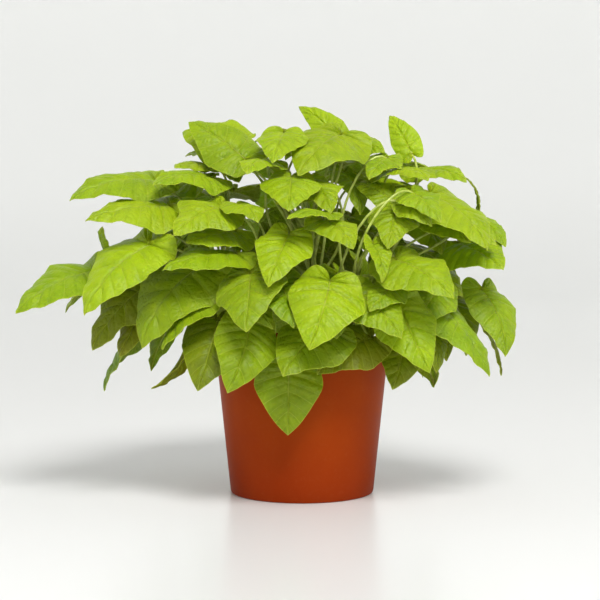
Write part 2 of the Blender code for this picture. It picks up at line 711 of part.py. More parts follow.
def blade_mesh(leaf, collection):
    """A thin closed blade: the open sheet of triangles with Solidify."""
    points, faces, _ = blade_sheet(leaf)
    sheet = bpy.data.meshes.new(leaf.name)
    sheet.from_pydata(points, [], faces)
    wall = add_object(leaf.name, sheet, collection).modifiers.new("Thickness", "SOLIDIFY")
    wall.thickness = BLADE_THICKNESS
    wall.offset = 0.0


def join_all(target, collection):
    """Join every object of a collection to the target in one Boolean union, then remove them."""
    union = target.modifiers.new("Join", "BOOLEAN")
    union.operation = "UNION"
    union.operand_type = "COLLECTION"
    union.collection = collection
    union.solver = "MANIFOLD"
    mesh = evaluated_mesh(target)
    target.modifiers.clear()
    target.data = mesh
    for made in list(collection.objects):
        bpy.data.objects.remove(made)
    bpy.data.collections.remove(collection)


def build_stem(name, leaves, routes, plant, rings, material):
    """One leafy stem: the stem, its petioles and its blades in one solid."""
    stem_ring, petiole_ring = rings
    line = tube_curve(name, stem_path(name), STEM_RADIUS, STEM_TIP_RADIUS, stem_ring, plant)
    stem = meshes_from([line], plant, material)[0]
    growth = new_collection(name + "_growth")
    stalks = []
    for index, leaf in enumerate(leaves):
        if leaf.stem != name:
            continue
        blade_mesh(leaf, growth)
        if index in routes:
            route = curve_path(routes[index], PETIOLE_STEPS)
            stalks.append(tube_curve(leaf.name + "_stalk", route, PETIOLE_FOOT_RADIUS, PETIOLE_END_RADIUS,
                                     petiole_ring, growth))
    meshes_from(stalks, growth)
    join_all(stem, growth)


def turned(name, profile, sides, collection, material):
    """A solid of revolution from a closed profile of radius and height pairs."""
    mesh = bpy.data.meshes.new(name)
    edges = [(index, index + 1) for index in range(len(profile) - 1)]
    mesh.from_pydata([(radius, 0, height) for radius, height in profile], edges, [])
    made = add_object(name, mesh, collection, material)
    screw = made.modifiers.new("Turn", "SCREW")
    screw.steps = sides
    screw.render_steps = sides
    screw.use_merge_vertices = True
    screw.merge_threshold = 0.00001
    return made


def arc(centre, radius, first, last, steps):
    """Points of an arc in a profile, from one angle to another in degrees."""
    angles = [math.radians(first + (last - first) * step / steps) for step in range(steps + 1)]
    return [(centre[0] + radius * math.cos(angle), centre[1] + radius * math.sin(angle)) for angle in angles]


def cut_with(target, name, cutters):
    cut = target.modifiers.new(name, "BOOLEAN")
    cut.operation = "DIFFERENCE"
    cut.operand_type = "COLLECTION"
    cut.collection = cutters


def cutter_at(place, radius, depth, sides, collection):
    bpy.ops.mesh.primitive_cylinder_add(vertices=sides, radius=radius, depth=depth, location=place)
    cutter = bpy.context.active_object
    for owner in list(cutter.users_collection):
        owner.objects.unlink(cutter)
    collection.objects.link(cutter)
    cutter.hide_render = True
    cutter.display_type = "WIRE"


def build_pot(collection, material):
    """The pot: outer wall and rim down, foot ring, raised floor with its centre pad, and inner wall."""
    inner_top = POT_TOP_RADIUS - POT_WALL
    inner_base = POT_BASE_RADIUS - POT_WALL
    floor_top = FOOT_RISE + POT_WALL
    lip = POT_TOP_RADIUS + RIM_WIDTH
    rim_base = POT_HEIGHT - RIM_DEPTH
    profile = [(inner_top, POT_HEIGHT), (lip - RIM_EDGE, POT_HEIGHT), (lip, POT_HEIGHT - RIM_EDGE)]
    profile += [(lip, rim_base), (pot_radius(rim_base - RIM_SLOPE), rim_base - RIM_SLOPE)]
    profile += arc((POT_BASE_RADIUS - POT_EDGE_RADIUS, POT_EDGE_RADIUS), POT_EDGE_RADIUS, 0, -90, 4)
    foot = POT_BASE_RADIUS - POT_EDGE_RADIUS - FOOT_WIDTH
    profile += [(foot, 0.0), (foot - FOOT_SLOPE, FOOT_RISE)]
    profile += [(PAD_RADIUS + FOOT_SLOPE, FOOT_RISE), (PAD_RADIUS, 0.0), (0.0, 0.0)]
    profile += [(0.0, floor_top), (inner_base - FLOOR_CORNER[0], floor_top)]
    profile += [(inner_base, floor_top + FLOOR_CORNER[1]), (inner_top, POT_HEIGHT)]
    pot = turned("pot", profile, POT_SIDES, collection, material)
    holes = new_collection("pot_cutters")
    for index in range(DRAIN_COUNT):
        spot = outward_at(360 * index / DRAIN_COUNT) * DRAIN_CIRCLE + Vector((0, 0, FOOT_RISE))
        cutter_at(spot, DRAIN_RADIUS, CUT_DEPTH, DRAIN_SIDES, holes)
    cut_with(pot, "Drain holes", holes)


def mix_swell(x, y):
    """The uneven top of the potting mix, between about -1 and 1."""
    return (math.sin(210 * x + 1.0) * math.cos(260 * y) + 0.6 * math.sin(430 * x - 380 * y)) / 2


def build_mix(collection, material):
    """The potting mix: it fills the pot up to an uneven top, with a plain hole for each stem."""
    floor_top = FOOT_RISE + POT_WALL + FIT_GAP
    inner_base = POT_BASE_RADIUS - POT_WALL - SLOPE_GAP
    slope = (POT_TOP_RADIUS - POT_BASE_RADIUS) / POT_HEIGHT
    top_radius = inner_base + slope * MIX_TOP
    profile = [(top_radius * ring / MIX_RINGS, MIX_TOP) for ring in range(MIX_RINGS + 1)]
    profile += [(inner_base, floor_top + MIX_CORNER[1]), (inner_base - MIX_CORNER[0], floor_top)]
    profile += [(0.0, floor_top)]
    mix = turned("potting_mix", profile, MIX_SIDES, collection, material)
    mesh = evaluated_mesh(mix)
    mix.modifiers.clear()
    mix.data = mesh
    for point in mesh.vertices:
        if point.co.z > MIX_TOP - FIT_GAP:
            point.co.z += MIX_BUMP * mix_swell(point.co.x, point.co.y)
    holes = new_collection("mix_cutters")
    depth = STEM_DEPTH + CUT_DEPTH
    for name in STEMS:
        foot = stem_path(name)[0]
        cutter_at(foot + Vector((0, 0, depth / 2 - FIT_GAP)), HOLE_RADIUS, depth, HOLE_SIDES, holes)
    cut_with(mix, "Stem holes", holes)


def main():
    for made in list(bpy.data.objects):
        bpy.data.objects.remove(made)
    plant = new_collection("sweet_potato_vine")
    build_pot(plant, plain_material("terracotta_plastic", POT_COLOUR, 0.5))
    build_mix(plant, plain_material("dark_mix", MIX_COLOUR, 0.95))
    green = plain_material("vine_green", GREEN, 0.5)
    guides = new_collection("guides")
    rings = (tube_profile(STEM_SIDES, guides), tube_profile(PETIOLE_SIDES, guides))
    leaves, routes = layout()
    for name in STEMS:
        build_stem(name, leaves, routes, plant, rings, green)


main()
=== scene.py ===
"""Looks of the sweet potato vine in its pot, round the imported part.

Metres, +Z up, the origin at the centre of the pot's base. The front of the plant faces -Y.
The leaves stand where the part's own layout puts them, with rounded edges, veins and relief.
"""
import itertools
import math
import random
from dataclasses import dataclass

import bpy
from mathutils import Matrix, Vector, noise
from mathutils.bvhtree import BVHTree


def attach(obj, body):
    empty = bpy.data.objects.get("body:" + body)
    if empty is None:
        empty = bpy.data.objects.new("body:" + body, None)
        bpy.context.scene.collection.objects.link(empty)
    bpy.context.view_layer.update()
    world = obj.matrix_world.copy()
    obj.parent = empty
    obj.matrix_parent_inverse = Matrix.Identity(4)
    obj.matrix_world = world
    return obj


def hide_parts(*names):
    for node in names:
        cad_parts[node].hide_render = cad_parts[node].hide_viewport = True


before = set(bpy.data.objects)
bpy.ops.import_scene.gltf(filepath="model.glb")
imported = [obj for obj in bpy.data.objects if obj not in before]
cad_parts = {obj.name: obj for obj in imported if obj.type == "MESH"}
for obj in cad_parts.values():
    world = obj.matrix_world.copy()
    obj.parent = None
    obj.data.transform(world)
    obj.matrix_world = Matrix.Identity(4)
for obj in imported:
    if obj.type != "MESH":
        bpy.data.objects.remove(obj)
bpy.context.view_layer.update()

# The pot: a turned shell with a small rolled rim, a foot ring, a centre pad and drain holes
POT_HEIGHT = 0.135
POT_TOP_RADIUS = 0.0775
POT_BASE_RADIUS = 0.0635
POT_WALL = 0.0018
POT_EDGE_RADIUS = 0.002
RIM_WIDTH = 0.0025
RIM_DEPTH = 0.006
RIM_EDGE = 0.001
RIM_SLOPE = 0.0015
FOOT_WIDTH = 0.014
FOOT_RISE = 0.002
FOOT_SLOPE = 0.001
PAD_RADIUS = 0.012
FLOOR_CORNER = (0.004, 0.003)
DRAIN_COUNT = 6
DRAIN_RADIUS = 0.004
DRAIN_CIRCLE = 0.032
CUT_DEPTH = 0.012

# The potting mix
FIT_GAP = 0.0003
SLOPE_GAP = 0.00045
MIX_TOP = 0.120
MIX_BUMP = 0.0016
MIX_CORNER = (0.0044, 0.0034)

# Stems and petioles
STEM_DEPTH = 0.030
STEM_NECK = 0.004
STEM_RADIUS = 0.0032
STEM_TIP_RADIUS = 0.0018
STEM_COURSE = ((0.22, 0.36), (0.60, 0.72), (1.0, 1.0))
PETIOLE_RADIUS = 0.0012
PETIOLE_STEPS = 3
STALK_SEAT = 0.0007
STALK_RISE = 0.4
STALK_OUT = 0.15
STALK_BACK = 0.22

# Stems: azimuth in degrees from the front towards the right, radius at the mix, lean and height
STEMS = {
    "vine_front": (-10, 0.038, 0.030, 0.185),
    "vine_right_front": (38, 0.040, 0.034, 0.190),
    "vine_right": (84, 0.036, 0.036, 0.200),
    "vine_right_back": (128, 0.040, 0.030, 0.195),
    "vine_back": (172, 0.038, 0.030, 0.200),
    "vine_left_back": (-140, 0.040, 0.034, 0.195),
    "vine_left": (-95, 0.038, 0.044, 0.190),
    "vine_left_front": (-52, 0.042, 0.040, 0.180),
    "vine_crown": (60, 0.008, 0.006, 0.235),
}
CROWN = "vine_crown"
CROWN_REACH = 0.058
CROWN_FLOOR = 0.225
PLANT_CENTRE = Vector((-0.008, 0.0, 0.0))

# Blades: half of the outline, along and across the midrib in blade lengths, from notch to tip,
# and the places along the midrib where the veins to those points start
BLADE_THICKNESS = 0.0007
OUTLINE = ((-0.13, 0.09), (-0.18, 0.27), (-0.04, 0.43), (0.27, 0.49), (0.57, 0.40), (0.83, 0.19))
VEIN_ROOTS = (0.0, 0.0, 0.0, 0.14, 0.38, 0.66)
LOBE = 3
LOBE_FORWARD = 0.6
LOBE_SINUS = 0.5
STALK_JOINT = 0.05
BUD_LENGTH = 0.030
BUD_SINK = 0.003
SEED = 7

# Leaves by rule: count, first and last azimuth, height, radius of the joints, blade length,
# how far the tip goes outwards and down
RULE_TIERS = (
    (7, 100, 262, 0.158, 0.128, 0.082, 0.045, 0.062),
    (7, 98, 266, 0.198, 0.130, 0.086, 0.066, 0.045),
    (7, 98, 264, 0.238, 0.112, 0.084, 0.068, 0.036),
    (5, 104, 258, 0.276, 0.082, 0.076, 0.068, 0.020),
    (4, 110, 250, 0.300, 0.044, 0.072, 0.064, 0.004),
    (5, 112, 250, 0.226, 0.066, 0.080, 0.026, 0.070),
    (6, -80, 84, 0.203, 0.080, 0.066, 0.044, 0.040),
)
RULE_LOBES = (0.0, 0.0, 0.08, 0.14)
RULE_ANGLE = 7.0
RULE_SPREAD = 0.009
RULE_SIDEWAYS = 0.022
RIGHT_SHORT = 0.24

# Room between blades and petioles of different stems, and how crossing leaves are slid apart
BLADE_GUARD = 0.0007
PETIOLE_GUARD = 0.0006
POT_CLEARANCE = 0.0035
CLEAR_ROUNDS = 160
OWN_CLEAR_ROUNDS = 90
CLEAR_STEP = 0.0012

# Petiole routes that are tried: bend to one side, hang under the joint and place on the stem
SWINGS = (0.0, 0.15, -0.15, 0.3, -0.3, 0.5, -0.5)
HANGS = (0.12, 0.28, -0.05, 0.45)
STEM_STARTS = (0.95, 0.75, 0.55, 0.35)
BULGE_COST = 20.0

# The front is laid out as it is seen from this viewpoint, in picture points of a 600-point frame
VIEW_FROM = Vector((-0.0018, -1.6, 0.2838))
VIEW_DOWN = math.radians(4.03)
VIEW_FOCAL = 1808.0
VIEW_CENTRE = 300.0

# Fine blades: rows between the vein ends along the outline, columns from the midrib to the edge,
# thickness as a share of the part's, and relief in blade lengths
ROWS_PER_VEIN = 6
COLUMNS = (0.0, 0.05, 0.14, 0.3, 0.5, 0.7, 0.88, 1.0)
FINE_THICKNESS = 0.8
QUILT = 0.024
MINOR_QUILT = 0.014
RUFFLE = 0.010
RIB_SINK = 0.006
LOBE_SHARP = 5.0

# Distances to the veins, in mm: how much thinner the minor veins are, and what stands for far from any
MINOR_VEIN = 0.2
PLAIN_DISTANCE = 9.0

# Fine petioles, stems and midribs, and the steps of what is spun
FINE_STALK_STEPS = 14
FINE_STALK_SIDES = 8
FINE_STEM_SIDES = 12
FINE_STEM_STEPS = 6
RIB_STEPS = 10
RIB_SIDES = 6
RIB_RADIUS = 0.0008
RIB_BLADE_LENGTH = 0.075
WALL_STEPS = 8
MIX_RINGS = 26
SPIN_STEPS = 96
FLOOR_SPIN_STEPS = 64
DRAIN_SIDES = 24
MERGE_WITHIN = 0.00001
SMOOTH_ANGLE = math.radians(40)

# Leaf tones: 0 is deep green and 1 is bright lime; age 1 is olive brown. Low leaves are deeper than high
# ones, which is painted shade, and the listed tones and ages hold each leaf's own colour together with
# painted light and shade
LOW_LEAVES = 0.12
HIGH_LEAVES = 0.24
TONES_AND_PAINTED_LIGHT = {
    "left_bright": (0.95, 0.0), "front_bright": (0.9, 0.0), "right_bright": (0.85, 0.0),
    "centre_bright": (0.95, 0.0), "pot_front": (0.55, 0.1), "pale_front": (0.5, 0.25),
    "red_under": (0.35, 0.6), "hang_left": (0.2, 0.75), "hang_far_left": (0.25, 0.6),
    "sickle": (0.2, 0.7), "dark_left": (0.2, 0.45), "right_dark": (0.2, 0.5),
    "right_edge": (0.4, 0.35), "right_fork": (0.3, 0.5), "right_fork_far": (0.3, 0.5),
    "right_thin": (0.2, 0.6), "rear_brown": (0.3, 0.8), "young_right": (0.5, 0.5),
}
PLAIN_TONE = 0.42
SHADE_TONE_BY_HEIGHT = 0.4
TONE_SPREAD = 0.15
AGE_SPREAD = 0.15

# Leaf finishes: colours, how strongly veins, edge, net, puff and relief show, vein widths in mm, roughness.
# Puff is painted shade: deeper near the veins and lighter on the swells between them
LEAF_TOP = {
    "deep": (0.072, 0.165, 0.001), "bright": (0.29, 0.40, 0.004),
    "olive": (0.19, 0.165, 0.006), "pale": (0.42, 0.50, 0.05),
    "vein": 0.45, "edge": 0.5, "net": 0.04, "puff": 0.07, "relief": 0.6,
    "rib_width": 1.0, "vein_width": 0.6, "roughness": 0.46,
}
LEAF_UNDERSIDE = {
    "deep": (0.10, 0.17, 0.004), "bright": (0.24, 0.31, 0.014),
    "olive": (0.19, 0.165, 0.012), "pale": (0.38, 0.44, 0.08),
    "vein": 0.7, "edge": 0.2, "net": 0.3, "puff": 0.06, "relief": 0.6,
    "rib_width": 1.0, "vein_width": 0.6, "roughness": 0.6,
}

# Other finishes
STALK_DARK = (0.26, 0.33, 0.03)
STALK_LIGHT = (0.5, 0.58, 0.12)
POT_DARK = (0.335, 0.043, 0.002)
POT_LIGHT = (0.362, 0.051, 0.003)
# Painted shade on the pot: the colour it darkens to towards the foot, and the height where that fades out
POT_PAINTED_SHADE = (0.20, 0.014, 0.001)
POT_PAINTED_SHADE_HEIGHT = 0.09
POT_DUST = (0.42, 0.12, 0.05)
MIX_DARK = (0.008, 0.005, 0.003)
MIX_LIGHT = (0.06, 0.035, 0.02)
# Painted light on the floor: darker near the pot and paler far out, to even out the fall of the lamp's light
FLOOR_PAINTED_SHADE_NEAR = (0.78, 0.78, 0.765)
FLOOR_PAINTED_LIGHT_FAR = (0.93, 0.935, 0.92)
PALE_LIGHT = (1.0, 1.0, 0.99, 1.0)

# Studio: a round floor that bends up into a wall, one large soft light and an even pale sky
FLOOR_RADIUS = 2.6
WALL_BEND = 1.2
WALL_TOP = 3.0
LIGHT_PLACE = Vector((0.5, -2.05, 2.85))
LIGHT_AIM = Vector((0, 0, 0.15))
LIGHT_SIZE = 1.5
LIGHT_POWER = 113
SKY_STRENGTH = 0.385
SENSOR_WIDTH = 36
PICTURE_WIDTH = 600


@dataclass
class Leaf:
    """One blade: where its stalk joins it, where its tip is and how it is shaped."""
    name: str
    joint: Vector
    tip: Vector
    face: Vector
    width: float = 0.78
    arch: float = 0.09
    fold: float = -0.03
    wave: float = 0.04
    lobe: float = 0.04
    lift: float = 0.10
    loose: float = 1.0
    stem: str = ""

    def shift(self, step):
        self.joint = self.joint + step
        self.tip = self.tip + step


def outward_at(azimuth):
    turn = math.radians(azimuth)
    return Vector((math.sin(turn), -math.cos(turn), 0))


def seen_at(spot, near):
    """The place on the line of sight through a picture point, this far in front of the pot's axis."""
    forward = Vector((0, math.cos(VIEW_DOWN), -math.sin(VIEW_DOWN)))
    upward = Vector((0, math.sin(VIEW_DOWN), math.cos(VIEW_DOWN)))
    across = (spot[0] - VIEW_CENTRE) / VIEW_FOCAL
    above = (VIEW_CENTRE - spot[1]) / VIEW_FOCAL
    ray = forward + upward * above + Vector((1, 0, 0)) * across
    return VIEW_FROM + ray * ((-near - VIEW_FROM.y) / ray.y)


def seen(name, joint, tip, near, length, face, **shape):
    """A leaf of the front. near and length are in mm; a negative length leans away from the viewer."""
    start = seen_at(joint, near / 1000)
    flat_end = seen_at(tip, near / 1000)
    span = (flat_end - start).length
    reach = abs(length) / 1000
    lean = math.sqrt(max(reach ** 2 - span ** 2, 0.0))
    end = seen_at(tip, near / 1000 + math.copysign(lean, length))
    shape.setdefault("loose", 0.35)
    return Leaf(name, start, end, Vector(face), **shape)


def left_leaves():
    """The leaves seen left of the pot and over its left edge, from the outside in."""
    return [
        seen("far_left", (98, 268), (17, 311), 28, 88, (-0.2, -0.5, 0.84), lift=0.25, loose=0.1),
        seen("fold_left", (106, 268), (98, 236), 20, 38, (-0.6, -0.6, 0.2), width=0.7),
        seen("left_bright", (151, 249), (86, 320), 72, 90, (-0.3, -0.62, 0.72), width=0.72, loose=0.1),
        seen("left_upper", (156, 195), (70, 215), 8, 86, (-0.2, -0.48, 0.85)),
        seen("left_middle", (174, 214), (90, 229), 34, 84, (-0.15, -0.5, 0.85)),
        seen("shoulder_left", (212, 180), (153, 186), 18, 68, (-0.1, -0.5, 0.86), lobe=0.08),
        seen("square_left", (223, 204), (174, 233), 62, 66, (-0.1, -0.72, 0.7), lobe=0.13, loose=0.1),
        seen("small_left", (236, 211), (257, 229), 66, 44, (0.2, -0.5, 0.84)),
        seen("inner_left", (236, 238), (186, 250), 44, 62, (-0.1, -0.6, 0.8), width=0.84),
        seen("band_left", (236, 252), (162, 268), 72, 72, (-0.1, -0.34, 0.94), arch=0.1),
        seen("shade_left", (212, 270), (153, 352), 52, 92, (-0.35, -0.68, 0.64), width=0.84),
        seen("hang_far_left", (148, 284), (92, 350), 34, 78, (-0.5, -0.7, 0.3), lobe=0.2),
        seen("hang_left", (151, 300), (124, 362), 22, 66, (-0.4, -0.8, 0.2), lobe=0.18, width=0.7),
        seen("sickle", (190, 320), (151, 389), 32, 76, (0.75, 0.25, 0.5), width=0.4, fold=0.4),
        seen("dark_left", (215, 316), (195, 388), 66, 74, (-0.3, -0.9, 0.25), width=0.84),
        seen("pot_left", (250, 321), (227, 392), 92, 72, (0.15, -0.85, 0.5), width=0.76, loose=0.1),
        seen("twist_left", (243, 294), (272, 332), 74, 50, (-0.3, -0.6, 0.75), width=0.6),
    ]


def right_leaves():
    """The leaves seen right of the pot and over its right edge, from the outside in."""
    return [
        seen("front_fold", (392, 291), (369, 317), 92, 40, (-0.1, -0.7, 0.7), width=0.84, loose=0.2),
        seen("right_bright", (398, 303), (430, 375), 82, 76, (0.05, -0.7, 0.7), width=0.72, loose=0.1),
        seen("right_behind", (432, 290), (404, 332), 60, 54, (0, -0.7, 0.7)),
        seen("right_dark", (402, 337), (393, 389), 56, 56, (0.1, -0.93, 0.3)),
        seen("right_edge", (426, 312), (438, 373), 46, 60, (0.5, -0.6, 0.4), width=0.62),
        seen("right_fork", (440, 297), (453, 356), 24, 62, (0.2, -0.8, 0.4), width=0.62),
        seen("right_fork_far", (452, 297), (467, 354), 10, 60, (0.3, -0.75, 0.4), width=0.62),
        seen("right_long", (436, 286), (490, 361), 48, 88, (0.6, -0.45, 0.6), width=0.7),
        seen("right_thin", (478, 316), (501, 376), -8, 60, (0.85, -0.2, 0.4), width=0.35),
        seen("right_big", (482, 290), (505, 357), 12, 74, (0.4, -0.7, 0.6), width=0.66, loose=0.2),
        seen("right_shoulder", (456, 252), (501, 279), 8, 68, (0.2, -0.75, 0.55), width=0.88, lobe=0.06),
        seen("right_shade", (396, 260), (454, 299), 84, 76, (0.05, -0.56, 0.82), width=0.84, loose=0.2),
        seen("right_curl", (374, 240), (384, 278), 92, 46, (0.4, -0.6, 0.6), width=0.5, fold=0.2),
        seen("lobed_right", (397, 206), (388, 246), 66, 50, (0, -0.8, 0.6), width=0.76, lobe=0.1, loose=0.1),
        seen("lobe_wing", (402, 210), (430, 234), 68, 40, (0.15, -0.7, 0.7), width=0.7, loose=0.2),
        seen("tongue_right", (398, 205), (352, 184), 48, -52, (-0.1, -0.6, 0.78), width=0.55),
        seen("right_hollow", (432, 218), (470, 246), 22, 62, (0.2, -0.7, 0.65), width=0.84),
        seen("behind_stalk", (350, 150), (366, 192), 2, 58, (0.5, -0.6, 0.5), width=0.62),
        seen("rim_right", (388, 156), (369, 178), 32, 42, (-0.2, -0.65, 0.7), width=0.72, lobe=0.1),
        seen("ledge_right", (388, 170), (428, 178), 24, 56, (0.15, -0.4, 0.9), lobe=0.06),
        seen("top_right", (415, 164), (466, 173), -6, 62, (0.15, -0.6, 0.78), width=0.6, loose=0.1),
        seen("top_right_up", (413, 162), (391, 124), -4, -50, (-0.3, -0.7, 0.6), width=0.5, loose=0.1),
        seen("young_right", (476, 213), (462, 180), -4, 36, (0.95, 0.1, 0.2), width=0.3, loose=0.1),
        seen("right_tip", (477, 212), (511, 240), -10, 52, (0.35, -0.75, 0.55), width=0.62, loose=0.2),
        seen("right_slope", (429, 196), (487, 252), 44, 84, (0.3, -0.5, 0.82), loose=0.2),
        seen("right_slope_back", (454, 222), (496, 246), 14, 60, (0.3, -0.5, 0.8), width=0.7),
        seen("right_inner", (402, 214), (440, 262), -26, 72, (0.2, -0.6, 0.75)),
        seen("right_inner_low", (398, 246), (446, 276), 6, 70, (0.2, -0.6, 0.75)),
        seen("right_curled", (411, 197), (440, 227), 66, 50, (0.1, -0.6, 0.8), width=0.7, lobe=0.1),
    ]


def middle_leaves():
    """The leaves seen over the pot and on the crown."""
    return [
        seen("pot_front", (289, 364), (288, 435), 96, 60, (0, -0.98, 0.15), width=0.92, loose=0.1),
        seen("pale_front", (328, 330), (283, 377), 94, 68, (-0.15, -0.75, 0.62), width=0.95, loose=0.15),
        seen("red_under", (372, 338), (317, 375), 80, 62, (-0.1, -0.75, 0.6)),
        seen("front_bright", (330, 283), (309, 352), 108, 72, (0, -0.76, 0.64), width=0.88, loose=0.1),
        seen("front_right", (350, 298), (399, 345), 84, 68, (0.1, -0.72, 0.7)),
        seen("top_middle", (342, 144), (299, 185), 12, 76, (-0.1, -0.7, 0.72), width=0.88, loose=0.1),
        seen("top_peak", (341, 142), (299, 105), 8, -60, (-0.25, -0.7, 0.65), width=0.45, loose=0.1),
        seen("top_wing", (343, 143), (382, 146), 4, 46, (0.1, -0.8, 0.6), width=0.7, loose=0.2),
        seen("rear_brown", (318, 140), (272, 147), -24, 62, (-0.1, -0.75, 0.62)),
        seen("rear_curl", (248, 150), (268, 143), -14, 40, (0.1, -0.5, 0.8), width=0.7),
        seen("top_left", (284, 150), (273, 181), 20, 60, (-0.05, -0.62, 0.78), width=0.72, lobe=0.05),
        seen("upper_left", (246, 164), (189, 127), 26, -66, (-0.15, -0.6, 0.78), width=0.72, loose=0.1),
        seen("upper_left_rear", (238, 152), (183, 141), -2, -60, (-0.1, -0.7, 0.7), lobe=0.08),
        seen("left_peak", (222, 164), (173, 161), -14, 64, (-0.1, -0.4, 0.92)),
        seen("centre_left", (292, 184), (289, 219), 56, 60, (0, -0.58, 0.82), width=0.8, lobe=0.06),
        seen("centre_right", (308, 180), (330, 212), 50, 56, (0.05, -0.64, 0.77), width=0.7, lobe=0.12),
        seen("centre_strip", (328, 221), (286, 226), 84, 48, (0, -0.24, 0.97), width=0.62),
        seen("centre_tongue", (324, 216), (354, 245), 76, 56, (0.1, -0.55, 0.83), width=0.7),
        seen("centre_bright", (289, 231), (268, 283), 86, 64, (-0.05, -0.76, 0.65), width=0.74, loose=0.1),
        seen("centre_cup", (273, 268), (288, 314), 76, 60, (0.05, -0.7, 0.7), width=0.84, fold=0.06),
        seen("centre_small", (270, 180), (246, 192), 44, 52, (-0.05, -0.5, 0.86), width=0.7),
        seen("centre_shade", (303, 180), (277, 194), 30, 52, (0, -0.5, 0.86)),
    ]


def ruled_leaves():
    """The back of the plant and its inside, tier by tier."""
    draws = random.Random(SEED)
    leaves = []
    for tier, (count, first, last, height, radius, length, out, down) in enumerate(RULE_TIERS):
        for index in range(count):
            azimuth = first + (last - first) * index / (count - 1)
            outward = outward_at(azimuth + draws.uniform(-RULE_ANGLE, RULE_ANGLE))
            reach = 1 - RIGHT_SHORT * max(outward.x, 0.0)
            away = (radius + draws.uniform(-RULE_SPREAD, RULE_SPREAD)) * reach
            level = height + draws.uniform(-RULE_SPREAD, RULE_SPREAD)
            joint = PLANT_CENTRE + outward * away + Vector((0, 0, level))
            side = outward.cross(Vector((0, 0, 1)))
            aim = outward * (out * reach) - Vector((0, 0, down))
            aim += side * draws.uniform(-RULE_SIDEWAYS, RULE_SIDEWAYS)
            tip = joint + aim.normalized() * (length * draws.uniform(0.85, 1.1))
            face = outward * draws.uniform(0.3, 0.6) + Vector((0, 0, 0.85)) + side * draws.uniform(-0.2, 0.2)
            leaves.append(Leaf(f"rule_{tier}_{index}", joint, tip, face, width=draws.uniform(0.74, 0.88),
                               lobe=draws.choice(RULE_LOBES)))
    return leaves


def young_name(stem):
    return stem + "_young"


def young_leaves():
    """The young folded leaf at the end of each stem."""
    leaves = []
    for name, (azimuth, *_) in STEMS.items():
        outward = outward_at(azimuth)
        aim = (Vector((0, 0, 1)) + outward * 0.35).normalized()
        joint = stem_path(name)[-1] - aim * BUD_SINK
        leaves.append(Leaf(young_name(name), joint, joint + aim * BUD_LENGTH, outward + Vector((0.3, 0, 0)),
                           width=0.45, fold=0.35, lift=0.0, loose=0.02, stem=name))
    return leaves


def edge_points(leaf):
    """Half of a leaf's outline: the common one, with its lobe drawn out and the bay behind it drawn in."""
    points = list(OUTLINE)
    along, across = points[LOBE]
    points[LOBE] = (along + leaf.lobe * LOBE_FORWARD, across + leaf.lobe)
    along, across = points[LOBE + 1]
    points[LOBE + 1] = (along, across - leaf.lobe * LOBE_SINUS)
    return points


class Blade:
    """The surface of a leaf as a rule: along the midrib, across it and its waves."""

    def __init__(self, leaf):
        chord = leaf.tip - leaf.joint
        self.leaf = leaf
        self.length = chord.length
        self.ahead = chord.normalized()
        self.up = (leaf.face - self.ahead * leaf.face.dot(self.ahead)).normalized()
        self.right = self.ahead.cross(self.up)
        draws = random.Random(leaf.name)
        self.phase = (draws.uniform(0, math.tau), draws.uniform(0, math.tau))
        self.sway = draws.uniform(-0.06, 0.06)
        self.bend = leaf.arch * draws.uniform(0.6, 1.5)
        self.cup = draws.uniform(0.2, 0.6)

    def point(self, along, across):
        """A point of the blade, along and across in blade lengths, across positive to the right."""
        leaf = self.leaf
        wide = across * leaf.width
        body = max(min(along, 1.0), 0.0)
        hump = 4 * body * (1 - body)
        rise = self.bend * hump + leaf.fold * abs(wide) * 2 * (1 - 0.5 * body) - self.cup * wide ** 2
        rise += leaf.lift * max(-along, 0.0) * 2
        phase = self.phase[0] if across > 0 else self.phase[1]
        rise += leaf.wave * math.sin(9.0 * along + phase) * (abs(wide) / 0.4) ** 1.5
        sideways = wide + self.sway * hump
        return (leaf.joint + self.ahead * (along * self.length) + self.right * (sideways * self.length)
                + self.up * (rise * self.length))


def blade_sheet(leaf):
    """The open sheet of a blade: its points, its triangles with the upper side outwards, and its border."""
    blade = Blade(leaf)
    spine = sorted(set(VEIN_ROOTS)) + [1.0]
    points = [blade.point(along, 0.0) for along in spine]
    tip = len(spine) - 1
    edge = edge_points(leaf)
    faces = []
    rims = []
    for sign in (1, -1):
        first = len(points)
        rim = list(range(first, first + len(edge)))
        points.extend(blade.point(along, across * sign) for along, across in edge)
        rims.append(rim)
        side = []
        for index in range(len(rim) - 1):
            here = spine.index(VEIN_ROOTS[index])
            after = spine.index(VEIN_ROOTS[index + 1])
            side.append((here, rim[index], rim[index + 1]))
            if after != here:
                side.append((here, rim[index + 1], after))
        side.append((spine.index(VEIN_ROOTS[-1]), rim[-1], tip))
        faces.extend(side if sign > 0 else [face[::-1] for face in side])
    border = [0] + rims[0] + [tip] + rims[1][::-1]
    return points, faces, border


def sheet_normals(points, faces):
    normals = [Vector((0, 0, 0)) for _ in points]
    for a, b, c in faces:
        normal = (points[b] - points[a]).cross(points[c] - points[a])
        for corner in (a, b, c):
            normals[corner] += normal
    return [normal.normalized() for normal in normals]


def guard_shell(points, faces, border, thickness):
    """A closed skin round a blade, to keep other stems' leaves out of."""
    normals = sheet_normals(points, faces)
    count = len(points)
    skin = [p + n * thickness for p, n in zip(points, normals)]
    skin += [p - n * thickness for p, n in zip(points, normals)]
    triangles = list(faces) + [(a + count, c + count, b + count) for a, b, c in faces]
    for here, after in zip(border, border[1:] + border[:1]):
        triangles.append((here, after, after + count))
        triangles.append((here, after + count, here + count))
    return BVHTree.FromPolygons(skin, triangles)


def ring_frame(direction):
    guide = Vector((0, 0, 1)) if abs(direction.z) < 0.9 else Vector((1, 0, 0))
    side = direction.cross(guide).normalized()
    return side, direction.cross(side).normalized()


